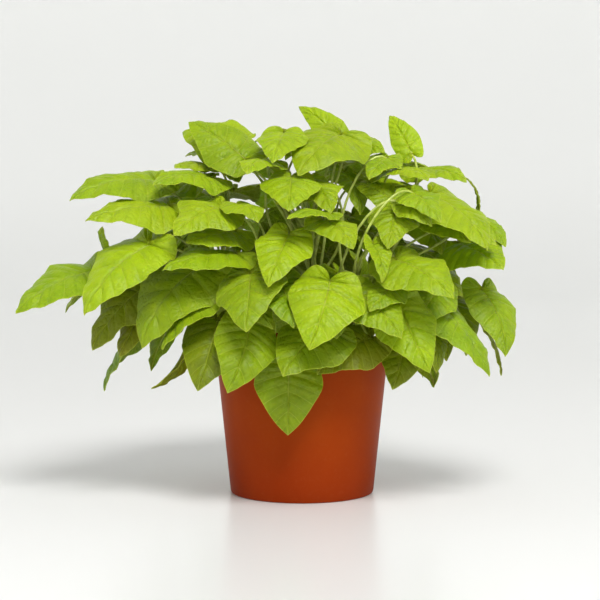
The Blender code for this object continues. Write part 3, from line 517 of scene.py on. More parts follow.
def guard_tube(path, radius):
    """A closed four-sided skin round a stalk or stem."""
    skin = []
    for index, point in enumerate(path):
        before = path[max(index - 1, 0)]
        after = path[min(index + 1, len(path) - 1)]
        side, other = ring_frame((after - before).normalized())
        skin += [point + side * radius, point + other * radius, point - side * radius, point - other * radius]
    triangles = [(0, 1, 2), (0, 2, 3)]
    last = len(skin) - 4
    triangles += [(last, last + 2, last + 1), (last, last + 3, last + 2)]
    for ring in range(len(path) - 1):
        for corner in range(4):
            a = ring * 4 + corner
            b = ring * 4 + (corner + 1) % 4
            triangles += [(a, b, b + 4), (a, b + 4, a + 4)]
    return BVHTree.FromPolygons(skin, triangles)


def pot_radius(height):
    return POT_BASE_RADIUS + (POT_TOP_RADIUS - POT_BASE_RADIUS) * height / POT_HEIGHT


def pot_push(points):
    """How far outwards a leaf has to move to hang clear of the pot and its rim."""
    push = 0.0
    for point in points:
        if point.z > POT_HEIGHT + POT_CLEARANCE:
            continue
        limit = pot_radius(point.z) + RIM_WIDTH + POT_CLEARANCE
        push = max(push, limit - math.hypot(point.x, point.y))
    return push


def stem_path(name):
    """The middle line of a stem, from the bottom of its hole in the mix to its growing end."""
    azimuth, radius, lean, height = STEMS[name]
    outward = outward_at(azimuth)
    foot = outward * radius
    path = [foot + Vector((0, 0, MIX_TOP - STEM_DEPTH)), foot + Vector((0, 0, MIX_TOP + STEM_NECK))]
    for out, up in STEM_COURSE:
        path.append(foot + outward * (lean * out) + Vector((0, 0, MIX_TOP + (height - MIX_TOP) * up)))
    return path


def nearest_stem(leaf):
    """The stem that a leaf grows from: the crown over the middle, else the one on its side."""
    away = leaf.joint - PLANT_CENTRE
    if math.hypot(away.x, away.y) < CROWN_REACH and leaf.joint.z > CROWN_FLOOR:
        return CROWN
    azimuth = math.degrees(math.atan2(away.x, -away.y))
    sides = {name: stem for name, stem in STEMS.items() if name != CROWN}
    return min(sides, key=lambda name: abs((sides[name][0] - azimuth + 180) % 360 - 180))


def blade_probe(leaf):
    points, faces, border = blade_sheet(leaf)
    tree = guard_shell(points, faces, border, BLADE_THICKNESS / 2 + BLADE_GUARD)
    low = Vector([min(p[axis] for p in points) for axis in range(3)])
    high = Vector([max(p[axis] for p in points) for axis in range(3)])
    middle = sum(points, Vector((0, 0, 0))) / len(points)
    centres = [(points[a] + points[b] + points[c]) / 3 for a, b, c in faces]
    return {"tree": tree, "low": low, "high": high, "middle": middle, "points": points + centres,
            "up": Blade(leaf).up}


def boxes_meet(one, two):
    margin = 2 * BLADE_GUARD + BLADE_THICKNESS
    return all(one["low"][axis] < two["high"][axis] + margin and two["low"][axis] < one["high"][axis] + margin
               for axis in range(3))


def apart_from(one, two):
    """The direction that slides the first of two crossing leaves off the second."""
    across, other = one["up"], two["up"]
    apart = (across + other if across.dot(other) > 0 else across - other).normalized()
    if apart.dot(one["middle"] - two["middle"]) < 0:
        return -apart
    return apart


def stem_push(leaf, probe, stems):
    """A small level step away from the other stems that a blade crosses."""
    push = Vector()
    for name, (tree, middle) in stems.items():
        if name != leaf.stem and tree.overlap(probe["tree"]):
            away = probe["middle"] - middle
            push += Vector((away.x, away.y, 0)).normalized() * CLEAR_STEP
    return push


def clearing_moves(leaves, probes, stems, own_too):
    """The next small step of each leaf that crosses another leaf or stem or is too near the pot."""
    moves = {}
    for first, second in itertools.combinations(range(len(leaves)), 2):
        one, two = leaves[first], leaves[second]
        if one.stem == two.stem and not own_too:
            continue
        if not boxes_meet(probes[first], probes[second]):
            continue
        if not probes[first]["tree"].overlap(probes[second]["tree"]):
            continue
        apart = apart_from(probes[first], probes[second])
        share = one.loose / (one.loose + two.loose)
        moves[first] = moves.get(first, Vector()) + apart * (2 * CLEAR_STEP * share)
        moves[second] = moves.get(second, Vector()) - apart * (2 * CLEAR_STEP * (1 - share))
    for index in range(len(leaves)):
        off = stem_push(leaves[index], probes[index], stems)
        if off.length > 0:
            moves[index] = moves.get(index, Vector()) + off
        push = pot_push(probes[index]["points"])
        if push > 0:
            middle = probes[index]["middle"]
            outward = Vector((middle.x, middle.y, 0)).normalized()
            moves[index] = moves.get(index, Vector()) + outward * (push + CLEAR_STEP)
    return moves


def slide_clear(leaves):
    """Slide crossing leaves apart, little by little, until no blade crosses another stem or its blades."""
    probes = [blade_probe(leaf) for leaf in leaves]
    stems = {}
    for name in STEMS:
        path = stem_path(name)[1:]
        stems[name] = (guard_tube(path, STEM_RADIUS + BLADE_GUARD), sum(path, Vector()) / len(path))
    for turn in range(CLEAR_ROUNDS):
        moves = clearing_moves(leaves, probes, stems, turn < OWN_CLEAR_ROUNDS)
        if not moves:
            break
        for index, step in moves.items():
            leaves[index].shift(step)
            probes[index] = blade_probe(leaves[index])
    return probes


def curve_point(corners, t):
    a, b, c, d = corners
    s = 1 - t
    return a * s ** 3 + b * (3 * s * s * t) + c * (3 * s * t * t) + d * t ** 3


def curve_path(corners, steps):
    return [curve_point(corners, step / steps) for step in range(steps + 1)]


def stalk_corners(leaf, start, swing, hang):
    """A petiole's curve from a point of the stem to the blade's notch, bent to one side by swing."""
    blade = Blade(leaf)
    end = blade.point(STALK_JOINT, 0.0) - blade.up * STALK_SEAT
    span = (end - start).length
    away = Vector((end.x - start.x, end.y - start.y, 0))
    side = Vector((-away.y, away.x, 0)).normalized() if away.length > 0.001 else Vector((1, 0, 0))
    leave = start + Vector((0, 0, span * STALK_RISE)) + away * STALK_OUT + side * (swing * span)
    arrive = end - blade.ahead * (span * STALK_BACK) - blade.up * (span * hang) + side * (swing * span * 0.6)
    return start, leave, arrive, end


def along_path(path, share):
    place = share * (len(path) - 1)
    index = min(int(place), len(path) - 2)
    return path[index].lerp(path[index + 1], place - index)


def tube_hits_pot(path):
    """Whether a petiole touches the pot's wall or rim; inside the bore and outside the rim it is free."""
    room = 2 * PETIOLE_RADIUS
    for first, second in zip(path, path[1:]):
        for share in (0.0, 0.5, 1.0):
            point = first.lerp(second, share)
            away = math.hypot(point.x, point.y)
            outside = away > pot_radius(point.z) + RIM_WIDTH + room
            inside = away < POT_TOP_RADIUS - POT_WALL - room and point.z > MIX_TOP + room
            if point.z < POT_HEIGHT + room and not outside and not inside:
                return True
    return False


def route_stalks(leaves, probes):
    """Choose each petiole's route so that it crosses nothing of another stem, and little of its own."""
    stems = {name: guard_tube(stem_path(name)[1:], STEM_RADIUS + PETIOLE_RADIUS) for name in STEMS}
    routes = {}
    trees = []
    frees = []
    for index in sorted(range(len(leaves)), key=lambda index: leaves[index].loose):
        leaf = leaves[index]
        if leaf.name == young_name(leaf.stem):
            continue
        best = None
        for place, hang, swing in itertools.product(STEM_STARTS, HANGS, SWINGS):
            corners = stalk_corners(leaf, along_path(stem_path(leaf.stem)[1:], place), swing, hang)
            route = curve_path(corners, PETIOLE_STEPS)
            if tube_hits_pot(route):
                continue
            tree = guard_tube(route, PETIOLE_RADIUS + PETIOLE_GUARD)
            if any(name != leaf.stem and stem.overlap(tree) for name, stem in stems.items()):
                continue
            if any(name != leaf.stem and other.overlap(tree) for name, other in trees):
                continue
            crossed = [k for k, probe in enumerate(probes) if k != index and probe["tree"].overlap(tree)]
            if any(leaves[k].stem != leaf.stem for k in crossed):
                continue
            free = guard_tube(route[1:], PETIOLE_RADIUS)
            met = sum(name == leaf.stem and other.overlap(free) != [] for name, other in frees)
            bulge = min(corners[0].y, corners[3].y) - min(point.y for point in route)
            cost = len(crossed) + 0.6 * met + BULGE_COST * bulge + 0.2 * abs(swing) + 0.1 * (1 - place)
            if best is None or cost < best[0]:
                best = (cost, corners, tree, free)
            if best[0] < 0.6 and swing == SWINGS[-1]:
                break
        if best is None:
            print("no route for the petiole of", leaf.name)
            continue
        routes[index] = best[1]
        trees.append((leaf.stem, best[2]))
        frees.append((leaf.stem, best[3]))
    return routes


def layout():
    """Every leaf with its stem, placed clear of the others, and the routes of their petioles."""
    leaves = left_leaves() + right_leaves() + middle_leaves() + ruled_leaves()
    for leaf in leaves:
        leaf.stem = nearest_stem(leaf)
    leaves += young_leaves()
    probes = slide_clear(leaves)
    return leaves, route_stalks(leaves, probes)


def deselect_all():
    if bpy.context.mode != "OBJECT":
        bpy.ops.object.mode_set(mode="OBJECT")
    bpy.ops.object.select_all(action="DESELECT")


def make_active(made):
    deselect_all()
    made.select_set(True)
    bpy.context.view_layer.objects.active = made


def apply_modifiers(made):
    make_active(made)
    for modifier in list(made.modifiers):
        bpy.ops.object.modifier_apply(modifier=modifier.name)


def knot_slopes(knots):
    """The slope of a smooth line at each of its knots."""
    last = len(knots) - 1
    return [[(b - a) / 2 for a, b in zip(knots[max(index - 1, 0)], knots[min(index + 1, last)])]
            for index in range(last + 1)]


def smooth_over(knots, slopes, place):
    """A smooth line through the knots, read at a place counted in knots."""
    index = min(int(place), len(knots) - 2)
    share = place - index
    square = share * share
    cube = square * share
    weights = (2 * cube - 3 * square + 1, cube - 2 * square + share, 3 * square - 2 * cube, cube - square)
    sources = (knots[index], slopes[index], knots[index + 1], slopes[index + 1])
    return [sum(weight * value for weight, value in zip(weights, values)) for values in zip(*sources)]


def smooth_path(points, steps):
    knots = [tuple(point) for point in points]
    slopes = knot_slopes(knots)
    count = (len(points) - 1) * steps
    return [Vector(smooth_over(knots, slopes, step / steps)) for step in range(count + 1)]


class FineBlade(Blade):
    """The same blade with a rounded edge, sunk veins and a quilted surface."""

    def __init__(self, leaf):
        super().__init__(leaf)
        self.knots = [(0.0, 0.0)] + edge_points(leaf) + [(1.0, 0.0)]
        self.slopes = knot_slopes(self.knots)
        sharp = 1 - min(leaf.lobe * LOBE_SHARP, 0.85)
        self.slopes[LOBE + 1] = [slope * sharp for slope in self.slopes[LOBE + 1]]
        self.roots = (0.0, *VEIN_ROOTS, 1.0)

    def flat(self, place, out):
        """Along and across, from a place on the outline counted in veins and the share of the way to it."""
        edge = smooth_over(self.knots, self.slopes, place)
        index = min(int(place), len(self.roots) - 2)
        root = self.roots[index] + (self.roots[index + 1] - self.roots[index]) * (place - index)
        forward = 0.6 * out + 0.4 * out * out
        return root + (edge[0] - root) * forward, edge[1] * out

    def fine_point(self, place, out, sign):
        """A point of the surface, puffed between the veins, grooved at the midrib and ruffled at the edge."""
        along, across = self.flat(place, out)
        point = self.point(along, across * sign)
        between = abs(math.sin(math.pi * place)) ** 1.2
        minor = abs(math.sin(math.tau * place))
        puff = (QUILT * between + MINOR_QUILT * minor) * (1 - math.exp(-out / 0.12)) * (1 - out ** 3)
        groove = RIB_SINK * math.exp(-(out / 0.05) ** 2) * (1 - along)
        turn = self.phase[0] if sign > 0 else self.phase[1]
        ruffle = RUFFLE * (math.sin(27 * along + turn) + 0.6 * math.sin(49 * along + 3 * turn)) * out ** 3
        return point + self.up * ((puff - groove + ruffle) * self.length)

    def distances(self, place, out):
        """Millimetres to the midrib, to the nearest side vein and to the edge."""
        scale = self.length * 1000
        along, across = self.flat(place, out)
        last = len(self.knots) - 1
        below = int(place * 2) / 2
        gaps = []
        for vein in (below, below + 0.5):
            if 0 < vein < last:
                other = self.flat(vein, out)
                thinner = MINOR_VEIN if vein % 1 else 0.0
                gaps.append(math.hypot(along - other[0], across - other[1]) * scale + thinner)
        edge = self.flat(place, 1.0)
        return (across * scale, min(gaps) if gaps else PLAIN_DISTANCE,
                math.hypot(along - edge[0], across - edge[1]) * scale)


class Surface:
    """Points, faces and point values of one mesh while it is being made."""

    def __init__(self):
        self.points = []
        self.faces = []
        self.veins = []
        self.tint = []

    def add(self, point, veins, tint):
        self.points.append(point)
        self.veins.append(veins)
        self.tint.append(tint)
        return len(self.points) - 1

    def face(self, corners):
        """Add a face, without the corners that repeat where a grid closes on one point."""
        kept = list(dict.fromkeys(corners))
        if len(kept) > 2:
            self.faces.append(kept)


def leaf_tint(leaf):
    """Tone and age of a leaf, and an unused third value: named leaves have theirs, their own colour with
    painted light and shade, and others go by height, deeper lower down as painted shade.
    """
    draws = random.Random(leaf.name + " tint")
    height = (leaf.joint.z + leaf.tip.z) / 2
    high = max(min((height - LOW_LEAVES) / (HIGH_LEAVES - LOW_LEAVES), 1.0), 0.0)
    # Painted shade: the lower a leaf hangs, the deeper its tone
    tone = PLAIN_TONE + SHADE_TONE_BY_HEIGHT * high + draws.uniform(-TONE_SPREAD, TONE_SPREAD)
    age = draws.uniform(0.0, AGE_SPREAD)
    return (*TONES_AND_PAINTED_LIGHT.get(leaf.name, (tone, age)), 0.0)


def add_blade(surface, leaf):
    """The open sheet of one blade: two halves that share the midrib, the joint and the tip."""
    blade = FineBlade(leaf)
    tint = leaf_tint(leaf)
    last = len(blade.knots) - 1
    rows = last * ROWS_PER_VEIN
    joint = surface.add(blade.fine_point(0.0, 0.0, 1), (0.0, PLAIN_DISTANCE, PLAIN_DISTANCE), tint)
    tip = surface.add(blade.fine_point(last, 0.0, 1), (0.0, PLAIN_DISTANCE, 0.0), tint)
    spine = {}
    for row in range(1, rows):
        place = row / ROWS_PER_VEIN
        if blade.flat(place, 0.0)[0] > 1e-6:
            spine[row] = surface.add(blade.fine_point(place, 0.0, 1), blade.distances(place, 0.0), tint)
    for sign in (1, -1):
        grid = [[joint] * len(COLUMNS)]
        for row in range(1, rows):
            place = row / ROWS_PER_VEIN
            line = [spine.get(row, joint)]
            for out in COLUMNS[1:]:
                gaps = blade.distances(place, out)
                line.append(surface.add(blade.fine_point(place, out, sign), gaps, tint))
            grid.append(line)
        grid.append([tip] * len(COLUMNS))
        for here, after in zip(grid, grid[1:]):
            for column in range(len(COLUMNS) - 1):
                corners = (here[column], here[column + 1], after[column + 1], after[column])
                surface.face(corners if sign > 0 else corners[::-1])


def add_tube(surface, path, radii, sides, tint):
    """A closed round tube along a path, with its own radius at each point."""
    rings = []
    side, other = ring_frame((path[1] - path[0]).normalized())
    for index, point in enumerate(path):
        before = path[max(index - 1, 0)]
        after = path[min(index + 1, len(path) - 1)]
        ahead = (after - before).normalized()
        side = (side - ahead * side.dot(ahead)).normalized()
        other = ahead.cross(side)
        ring = []
        for corner in range(sides):
            turn = math.tau * corner / sides
            place = point + (side * math.cos(turn) + other * math.sin(turn)) * radii[index]
            ring.append(surface.add(place, (PLAIN_DISTANCE,) * 3, tint))
        rings.append(ring)
    for first, second in zip(rings, rings[1:]):
        for corner in range(sides):
            after = (corner + 1) % sides
            surface.face((first[corner], first[after], second[after], second[corner]))
    surface.face(rings[0][::-1])
    surface.face(rings[-1])


def add_petiole(surface, corners, tint):
    """A petiole, a little swollen where it leaves the stem and where it meets the blade."""
    radii = []
    for step in range(FINE_STALK_STEPS + 1):
        share = step / FINE_STALK_STEPS
        swell = 0.35 * math.exp(-share / 0.05) + 0.15 * math.exp(-(1 - share) / 0.06)
        radii.append(PETIOLE_RADIUS * (1.05 - 0.25 * share + swell))
    add_tube(surface, curve_path(corners, FINE_STALK_STEPS), radii, FINE_STALK_SIDES, tint)


def add_rib(surface, leaf, tint):
    """The midrib under a blade: a thin tapering rod, half sunk."""
    blade = Blade(leaf)
    path = []
    radii = []
    for step in range(RIB_STEPS + 1):
        along = 0.02 + 0.86 * step / RIB_STEPS
        point = blade.point(along, 0.0) - blade.up * (RIB_SINK * (1 - along) * blade.length)
        path.append(point - blade.up * (BLADE_THICKNESS * 0.4))
        radii.append(RIB_RADIUS * (1 - 0.8 * step / RIB_STEPS) * blade.length / RIB_BLADE_LENGTH)
    add_tube(surface, path, radii, RIB_SIDES, tint)


def mesh_object(name, surface, finishes):
    mesh = bpy.data.meshes.new(name)
    mesh.from_pydata(surface.points, [], surface.faces)
    for finish in finishes:
        mesh.materials.append(finish)
    for kept, values in (("veins", surface.veins), ("tint", surface.tint)):
        attribute = mesh.attributes.new(kept, "FLOAT_VECTOR", "POINT")
        attribute.data.foreach_set("vector", [value for triple in values for value in triple])
    made = bpy.data.objects.new(name, mesh)
    bpy.context.scene.collection.objects.link(made)
    return made


def leafy_stem(name, leaves, routes, finishes):
    """One leafy stem: thin blades with an upper and an under side, and the round petioles and stem."""
    sheet = Surface()
    stalks = Surface()
    for index, leaf in enumerate(leaves):
        if leaf.stem != name:
            continue
        add_blade(sheet, leaf)
        tint = leaf_tint(leaf)
        if index in routes:
            add_petiole(stalks, routes[index], tint)
        add_rib(stalks, leaf, tint)
    path = smooth_path(stem_path(name), FINE_STEM_STEPS)
    count = len(path) - 1
    radii = [STEM_RADIUS + (STEM_TIP_RADIUS - STEM_RADIUS) * step / count for step in range(count + 1)]
    add_tube(stalks, path, radii, FINE_STEM_SIDES, (0.5, 0.1, 0.5))
    blades = mesh_object(name + "_leaves", sheet, finishes[:2])
    wall = blades.modifiers.new("Thickness", "SOLIDIFY")
    wall.thickness = BLADE_THICKNESS * FINE_THICKNESS
    wall.offset = 0.0
    wall.material_offset = 1
    wall.material_offset_rim = 0
    apply_modifiers(blades)
    stems = mesh_object(name + "_stems", stalks, finishes[2:])
    deselect_all()
    stems.select_set(True)
    blades.select_set(True)
    bpy.context.view_layer.objects.active = blades
    bpy.ops.object.join()
    bpy.ops.object.shade_smooth_by_angle(angle=SMOOTH_ANGLE)
    blades.name = name + "_foliage"
    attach(blades, "root")
    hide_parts(name)


# Nodes of the materials

def new_node(tree, kind, **settings):
    node = tree.nodes.new(kind)
    for key, value in settings.items():
        setattr(node, key, value)
    return node


def wire(tree, source, target):
    tree.links.new(source, target)


def set_sockets(node, values):
    for name, value in values.items():
        node.inputs[name].default_value = value


def new_group(name, takes, gives):
    """A shader node group with named number sockets; takes gives each input its first value."""
    group = bpy.data.node_groups.new(name, "ShaderNodeTree")
    for socket, value in takes.items():
        made = group.interface.new_socket(name=socket, in_out="INPUT", socket_type="NodeSocketFloat")
        made.default_value = value
    for socket in gives:
        group.interface.new_socket(name=socket, in_out="OUTPUT", socket_type="NodeSocketFloat")
    return group, group.nodes.new("NodeGroupInput"), group.nodes.new("NodeGroupOutput")


def object_place(tree):
    """Object coordinates, which every pattern is laid out on."""
    return new_node(tree, "ShaderNodeTexCoord").outputs["Object"]


def split(tree, vector):
    parts = new_node(tree, "ShaderNodeSeparateXYZ")
    wire(tree, vector, parts.inputs[0])
    return parts.outputs


def soft_step(tree, value, low, high, first, last):
    """First below low, last above high, and smooth between them."""
    node = new_node(tree, "ShaderNodeMapRange", interpolation_type="SMOOTHSTEP")
    set_sockets(node, {"From Min": low, "From Max": high, "To Min": first, "To Max": last})
    wire(tree, value, node.inputs["Value"])
    return node.outputs["Result"]


def calculate(tree, operation, one, two):
    node = new_node(tree, "ShaderNodeMath", operation=operation)
    for socket, value in zip(node.inputs, (one, two)):
        if isinstance(value, (int, float)):
            socket.default_value = value
        else:
            wire(tree, value, socket)
    return node.outputs[0]


def mix_colours(tree, share, one, two):
    node = new_node(tree, "ShaderNodeMix", data_type="RGBA")
    wire(tree, share, node.inputs[0])
    for socket, value in ((node.inputs[6], one), (node.inputs[7], two)):
        if isinstance(value, tuple):
            socket.default_value = (*value, 1.0)
        else:
            wire(tree, value, socket)
    return node.outputs[2]


def noise_value(tree, source, scale, detail=3.0, roughness=0.5):
    node = new_node(tree, "ShaderNodeTexNoise")
    set_sockets(node, {"Scale": scale, "Detail": detail, "Roughness": roughness})
    wire(tree, source, node.inputs["Vector"])
    return node.outputs["Fac"]


def new_material(name, constants):
    """A material with these constants on its shader's own sockets."""
    material = bpy.data.materials.new(name)
    material.use_nodes = True
    shader = material.node_tree.nodes["Principled BSDF"]
    set_sockets(shader, constants)
    return material, material.node_tree, shader


def add_relief(tree, shader, height, strength, distance):
    """Fine relief on a shader, its distance in metres."""
    bump = new_node(tree, "ShaderNodeBump")
    set_sockets(bump, {"Strength": strength, "Distance": distance})
    wire(tree, height, bump.inputs["Height"])
    wire(tree, bump.outputs["Normal"], shader.inputs["Normal"])


def leaf_vein_group():
    """Masks of the veins and the edge of a blade, a painted-shade mask that is low near the veins and high on
    the swells between them, and its relief, from the distances kept on its points.
    """
    group, takes, gives = new_group("Leaf veins", {"Rib Width": 1.0, "Vein Width": 0.6},
                                    ("Veins", "Net", "Edge", "Puff", "Mottle", "Relief"))
    kept = new_node(group, "ShaderNodeAttribute", attribute_name="veins")
    to_rib, to_vein, to_edge = split(group, kept.outputs["Vector"])
    place = object_place(group)
    rib_share = calculate(group, "DIVIDE", to_rib, takes.outputs["Rib Width"])
    vein_share = calculate(group, "DIVIDE", to_vein, takes.outputs["Vein Width"])
    rib = soft_step(group, rib_share, 0.25, 1.0, 1.0, 0.0)
    vein = soft_step(group, vein_share, 0.2, 1.0, 0.7, 0.0)
    nearest = calculate(group, "MINIMUM", to_rib, to_vein)
    cells = new_node(group, "ShaderNodeTexVoronoi", feature="DISTANCE_TO_EDGE")
    cells.inputs["Scale"].default_value = 210.0
    wire(group, place, cells.inputs["Vector"])
    swell = soft_step(group, cells.outputs["Distance"], 0.0, 0.35, 0.0, 0.4)
    near = soft_step(group, nearest, 0.3, 3.0, 0.0, 0.5)
    fine = calculate(group, "MULTIPLY", noise_value(group, place, 900.0, 2.0), 0.15)
    wire(group, calculate(group, "MAXIMUM", rib, vein), gives.inputs["Veins"])
    wire(group, soft_step(group, cells.outputs["Distance"], 0.0, 0.12, 1.0, 0.0), gives.inputs["Net"])
    wire(group, soft_step(group, to_edge, 0.1, 0.8, 1.0, 0.0), gives.inputs["Edge"])
    # Painted shade: low near the veins and high on the swells between them
    wire(group, soft_step(group, nearest, 0.6, 4.0, 0.0, 1.0), gives.inputs["Puff"])
    wire(group, noise_value(group, place, 60.0, 4.0), gives.inputs["Mottle"])
    wire(group, calculate(group, "ADD", calculate(group, "ADD", swell, near), fine), gives.inputs["Relief"])
    return group


def leaf_material(name, veins, look):
    """Leaf finish: deep and bright green by tone, olive by age, paler veins and edge, painted shade near the
    veins and painted light on the swells between them, fine relief.
    """
    material, tree, shader = new_material(name, {
        "Subsurface Weight": 0.75, "Subsurface Radius": (0.8, 1.0, 0.1), "Subsurface Scale": 0.003,
        "Specular IOR Level": 0.22})
    masks = new_node(tree, "ShaderNodeGroup", node_tree=veins)
    set_sockets(masks, {"Rib Width": look["rib_width"], "Vein Width": look["vein_width"]})
    tint = new_node(tree, "ShaderNodeAttribute", attribute_name="tint")
    tone, age, _ = split(tree, tint.outputs["Vector"])
    tone = calculate(tree, "ADD", tone, soft_step(tree, masks.outputs["Mottle"], 0.3, 0.7, -0.12, 0.12))
    # Painted shade and light: the tone is deeper near the veins and brighter between them
    tone = calculate(tree, "ADD", tone, calculate(tree, "MULTIPLY", masks.outputs["Puff"], look["puff"]))
    tone = calculate(tree, "SUBTRACT", tone, look["puff"] * 0.7)
    base = mix_colours(tree, tone, look["deep"], look["bright"])
    base = mix_colours(tree, age, base, look["olive"])
    for mask, strength in (("Net", "net"), ("Veins", "vein"), ("Edge", "edge")):
        share = calculate(tree, "MULTIPLY", masks.outputs[mask], look[strength])
        base = mix_colours(tree, share, base, look["pale"])
    wire(tree, base, shader.inputs["Base Color"])
    wire(tree, soft_step(tree, masks.outputs["Mottle"], 0.2, 0.8, look["roughness"] - 0.06,
                         look["roughness"] + 0.08), shader.inputs["Roughness"])
    add_relief(tree, shader, masks.outputs["Relief"], look["relief"], 0.0013)
    return material


def stalk_material():
    """Petioles and stems: pale green, faintly streaked."""
    material, tree, shader = new_material("pale_green_stalk", {
        "Roughness": 0.45, "Subsurface Weight": 0.15, "Subsurface Radius": (0.6, 1.0, 0.15),
        "Subsurface Scale": 0.002})
    place = object_place(tree)
    streak = soft_step(tree, noise_value(tree, place, 140.0, 4.0, 0.6), 0.3, 0.7, 0.0, 1.0)
    wire(tree, mix_colours(tree, streak, STALK_DARK, STALK_LIGHT), shader.inputs["Base Color"])
    add_relief(tree, shader, noise_value(tree, place, 700.0, 2.0), 0.3, 0.0003)
    return material


def pot_material():
    """Satin moulded plastic: terracotta brown with faint dust and orange peel, and painted shade that darkens
    it towards the foot.
    """
    material, tree, shader = new_material("satin_terracotta_plastic", {"Specular IOR Level": 0.05})
    place = object_place(tree)
    cloud = noise_value(tree, place, 22.0, 5.0, 0.6)
    base = mix_colours(tree, soft_step(tree, cloud, 0.3, 0.7, 0.0, 1.0), POT_DARK, POT_LIGHT)
    # Painted shade: the wall's colour is darkened towards the foot
    low = soft_step(tree, split(tree, place)["Z"], 0.0, POT_PAINTED_SHADE_HEIGHT, 0.6, 0.0)
    base = mix_colours(tree, low, base, POT_PAINTED_SHADE)
    specks = soft_step(tree, noise_value(tree, place, 300.0, 6.0), 0.52, 0.75, 0.0, 1.0)
    base = mix_colours(tree, calculate(tree, "MULTIPLY", specks, 0.06), base, POT_DUST)
    wire(tree, base, shader.inputs["Base Color"])
    wire(tree, soft_step(tree, cloud, 0.25, 0.75, 0.40, 0.50), shader.inputs["Roughness"])
    add_relief(tree, shader, noise_value(tree, place, 650.0, 3.0), 0.12, 0.0003)
    return material


def mix_material():
    """Damp potting mix: dark crumbs with paler ones among them."""
    material, tree, shader = new_material("dark_potting_mix", {})
    crumb = noise_value(tree, object_place(tree), 320.0, 6.0, 0.7)
    base = mix_colours(tree, soft_step(tree, crumb, 0.35, 0.65, 0.0, 1.0), MIX_DARK, MIX_LIGHT)
    wire(tree, base, shader.inputs["Base Color"])
    wire(tree, soft_step(tree, crumb, 0.3, 0.7, 0.95, 0.75), shader.inputs["Roughness"])
    add_relief(tree, shader, crumb, 0.8, 0.001)
    return material


def floor_material():
    """Pale glossy floor with painted light: painted darker near the pot and paler far out, and glowing
    faintly up the wall, so that both look alike.
    """
    material, tree, shader = new_material("pale_floor", {
        "Roughness": 0.28, "Specular IOR Level": 0.5, "Emission Color": PALE_LIGHT})
    place = object_place(tree)
    reach = new_node(tree, "ShaderNodeVectorMath", operation="LENGTH")
    wire(tree, place, reach.inputs[0])
    away = soft_step(tree, reach.outputs["Value"], 0.4, 2.8, 0.0, 1.0)
    wire(tree, mix_colours(tree, away, FLOOR_PAINTED_SHADE_NEAR, FLOOR_PAINTED_LIGHT_FAR), shader.inputs["Base Color"])
    # Painted light: the wall glows a little more the higher it rises
    rise = soft_step(tree, split(tree, place)["Z"], 0.0, 0.35, 0.0, 1.0)
    wire(tree, calculate(tree, "MULTIPLY", rise, 0.06), shader.inputs["Emission Strength"])
    return material


# The pot, its filling and the studio

def arc(centre, radius, first, last, steps):
    """Points of an arc, from the first to the last angle in degrees."""
    turns = [math.radians(first + (last - first) * step / steps) for step in range(steps + 1)]
    return [(centre[0] + radius * math.cos(turn), centre[1] + radius * math.sin(turn)) for turn in turns]


def pot_profile():
    """The pot's section from its rim, down the wall, under the foot and up inside."""
    inner_top = POT_TOP_RADIUS - POT_WALL
    inner_base = POT_BASE_RADIUS - POT_WALL
    floor_top = FOOT_RISE + POT_WALL
    lip = POT_TOP_RADIUS + RIM_WIDTH
    rim_base = POT_HEIGHT - RIM_DEPTH
    profile = arc((lip - RIM_EDGE, POT_HEIGHT - RIM_EDGE), RIM_EDGE, 90, 0, 4)
    profile += arc((lip - RIM_EDGE, rim_base + RIM_EDGE), RIM_EDGE, 0, -70, 3)
    wall_top = rim_base - RIM_SLOPE
    wall_base = POT_EDGE_RADIUS * 1.25
    for step in range(WALL_STEPS + 1):
        height = wall_top + (wall_base - wall_top) * step / WALL_STEPS
        profile.append((pot_radius(height), height))
    profile += arc((POT_BASE_RADIUS - POT_EDGE_RADIUS, POT_EDGE_RADIUS), POT_EDGE_RADIUS, 0, -90, 8)
    foot = POT_BASE_RADIUS - POT_EDGE_RADIUS - FOOT_WIDTH
    profile += [(foot, 0.0), (foot - FOOT_SLOPE, FOOT_RISE)]
    profile += [(PAD_RADIUS + FOOT_SLOPE, FOOT_RISE), (PAD_RADIUS, 0.0), (0.0, 0.0)]
    profile += [(0.0, floor_top), (inner_base - FLOOR_CORNER[0], floor_top)]
    profile += [(inner_base, floor_top + FLOOR_CORNER[1])]
    profile += arc((inner_top + RIM_EDGE / 2, POT_HEIGHT - RIM_EDGE / 2), RIM_EDGE / 2, 180, 90, 3)
    return profile


def spun(name, profile, steps, finish):
    """A profile spun round the upright axis in edit mode, with its doubles merged."""
    mesh = bpy.data.meshes.new(name)
    edges = [(index, index + 1) for index in range(len(profile) - 1)]
    mesh.from_pydata([(radius, 0, height) for radius, height in profile], edges, [])
    made = bpy.data.objects.new(name, mesh)
    bpy.context.scene.collection.objects.link(made)
    make_active(made)
    bpy.ops.object.mode_set(mode="EDIT")
    bpy.ops.mesh.select_all(action="SELECT")
    bpy.ops.mesh.spin(steps=steps, angle=math.tau, center=(0, 0, 0), axis=(0, 0, 1))
    bpy.ops.mesh.select_all(action="SELECT")
    bpy.ops.mesh.remove_doubles(threshold=MERGE_WITHIN)
    bpy.ops.mesh.normals_make_consistent(inside=False)
    bpy.ops.object.mode_set(mode="OBJECT")
    mesh.materials.append(finish)
    bpy.ops.object.shade_smooth_by_angle(angle=SMOOTH_ANGLE)
    return made


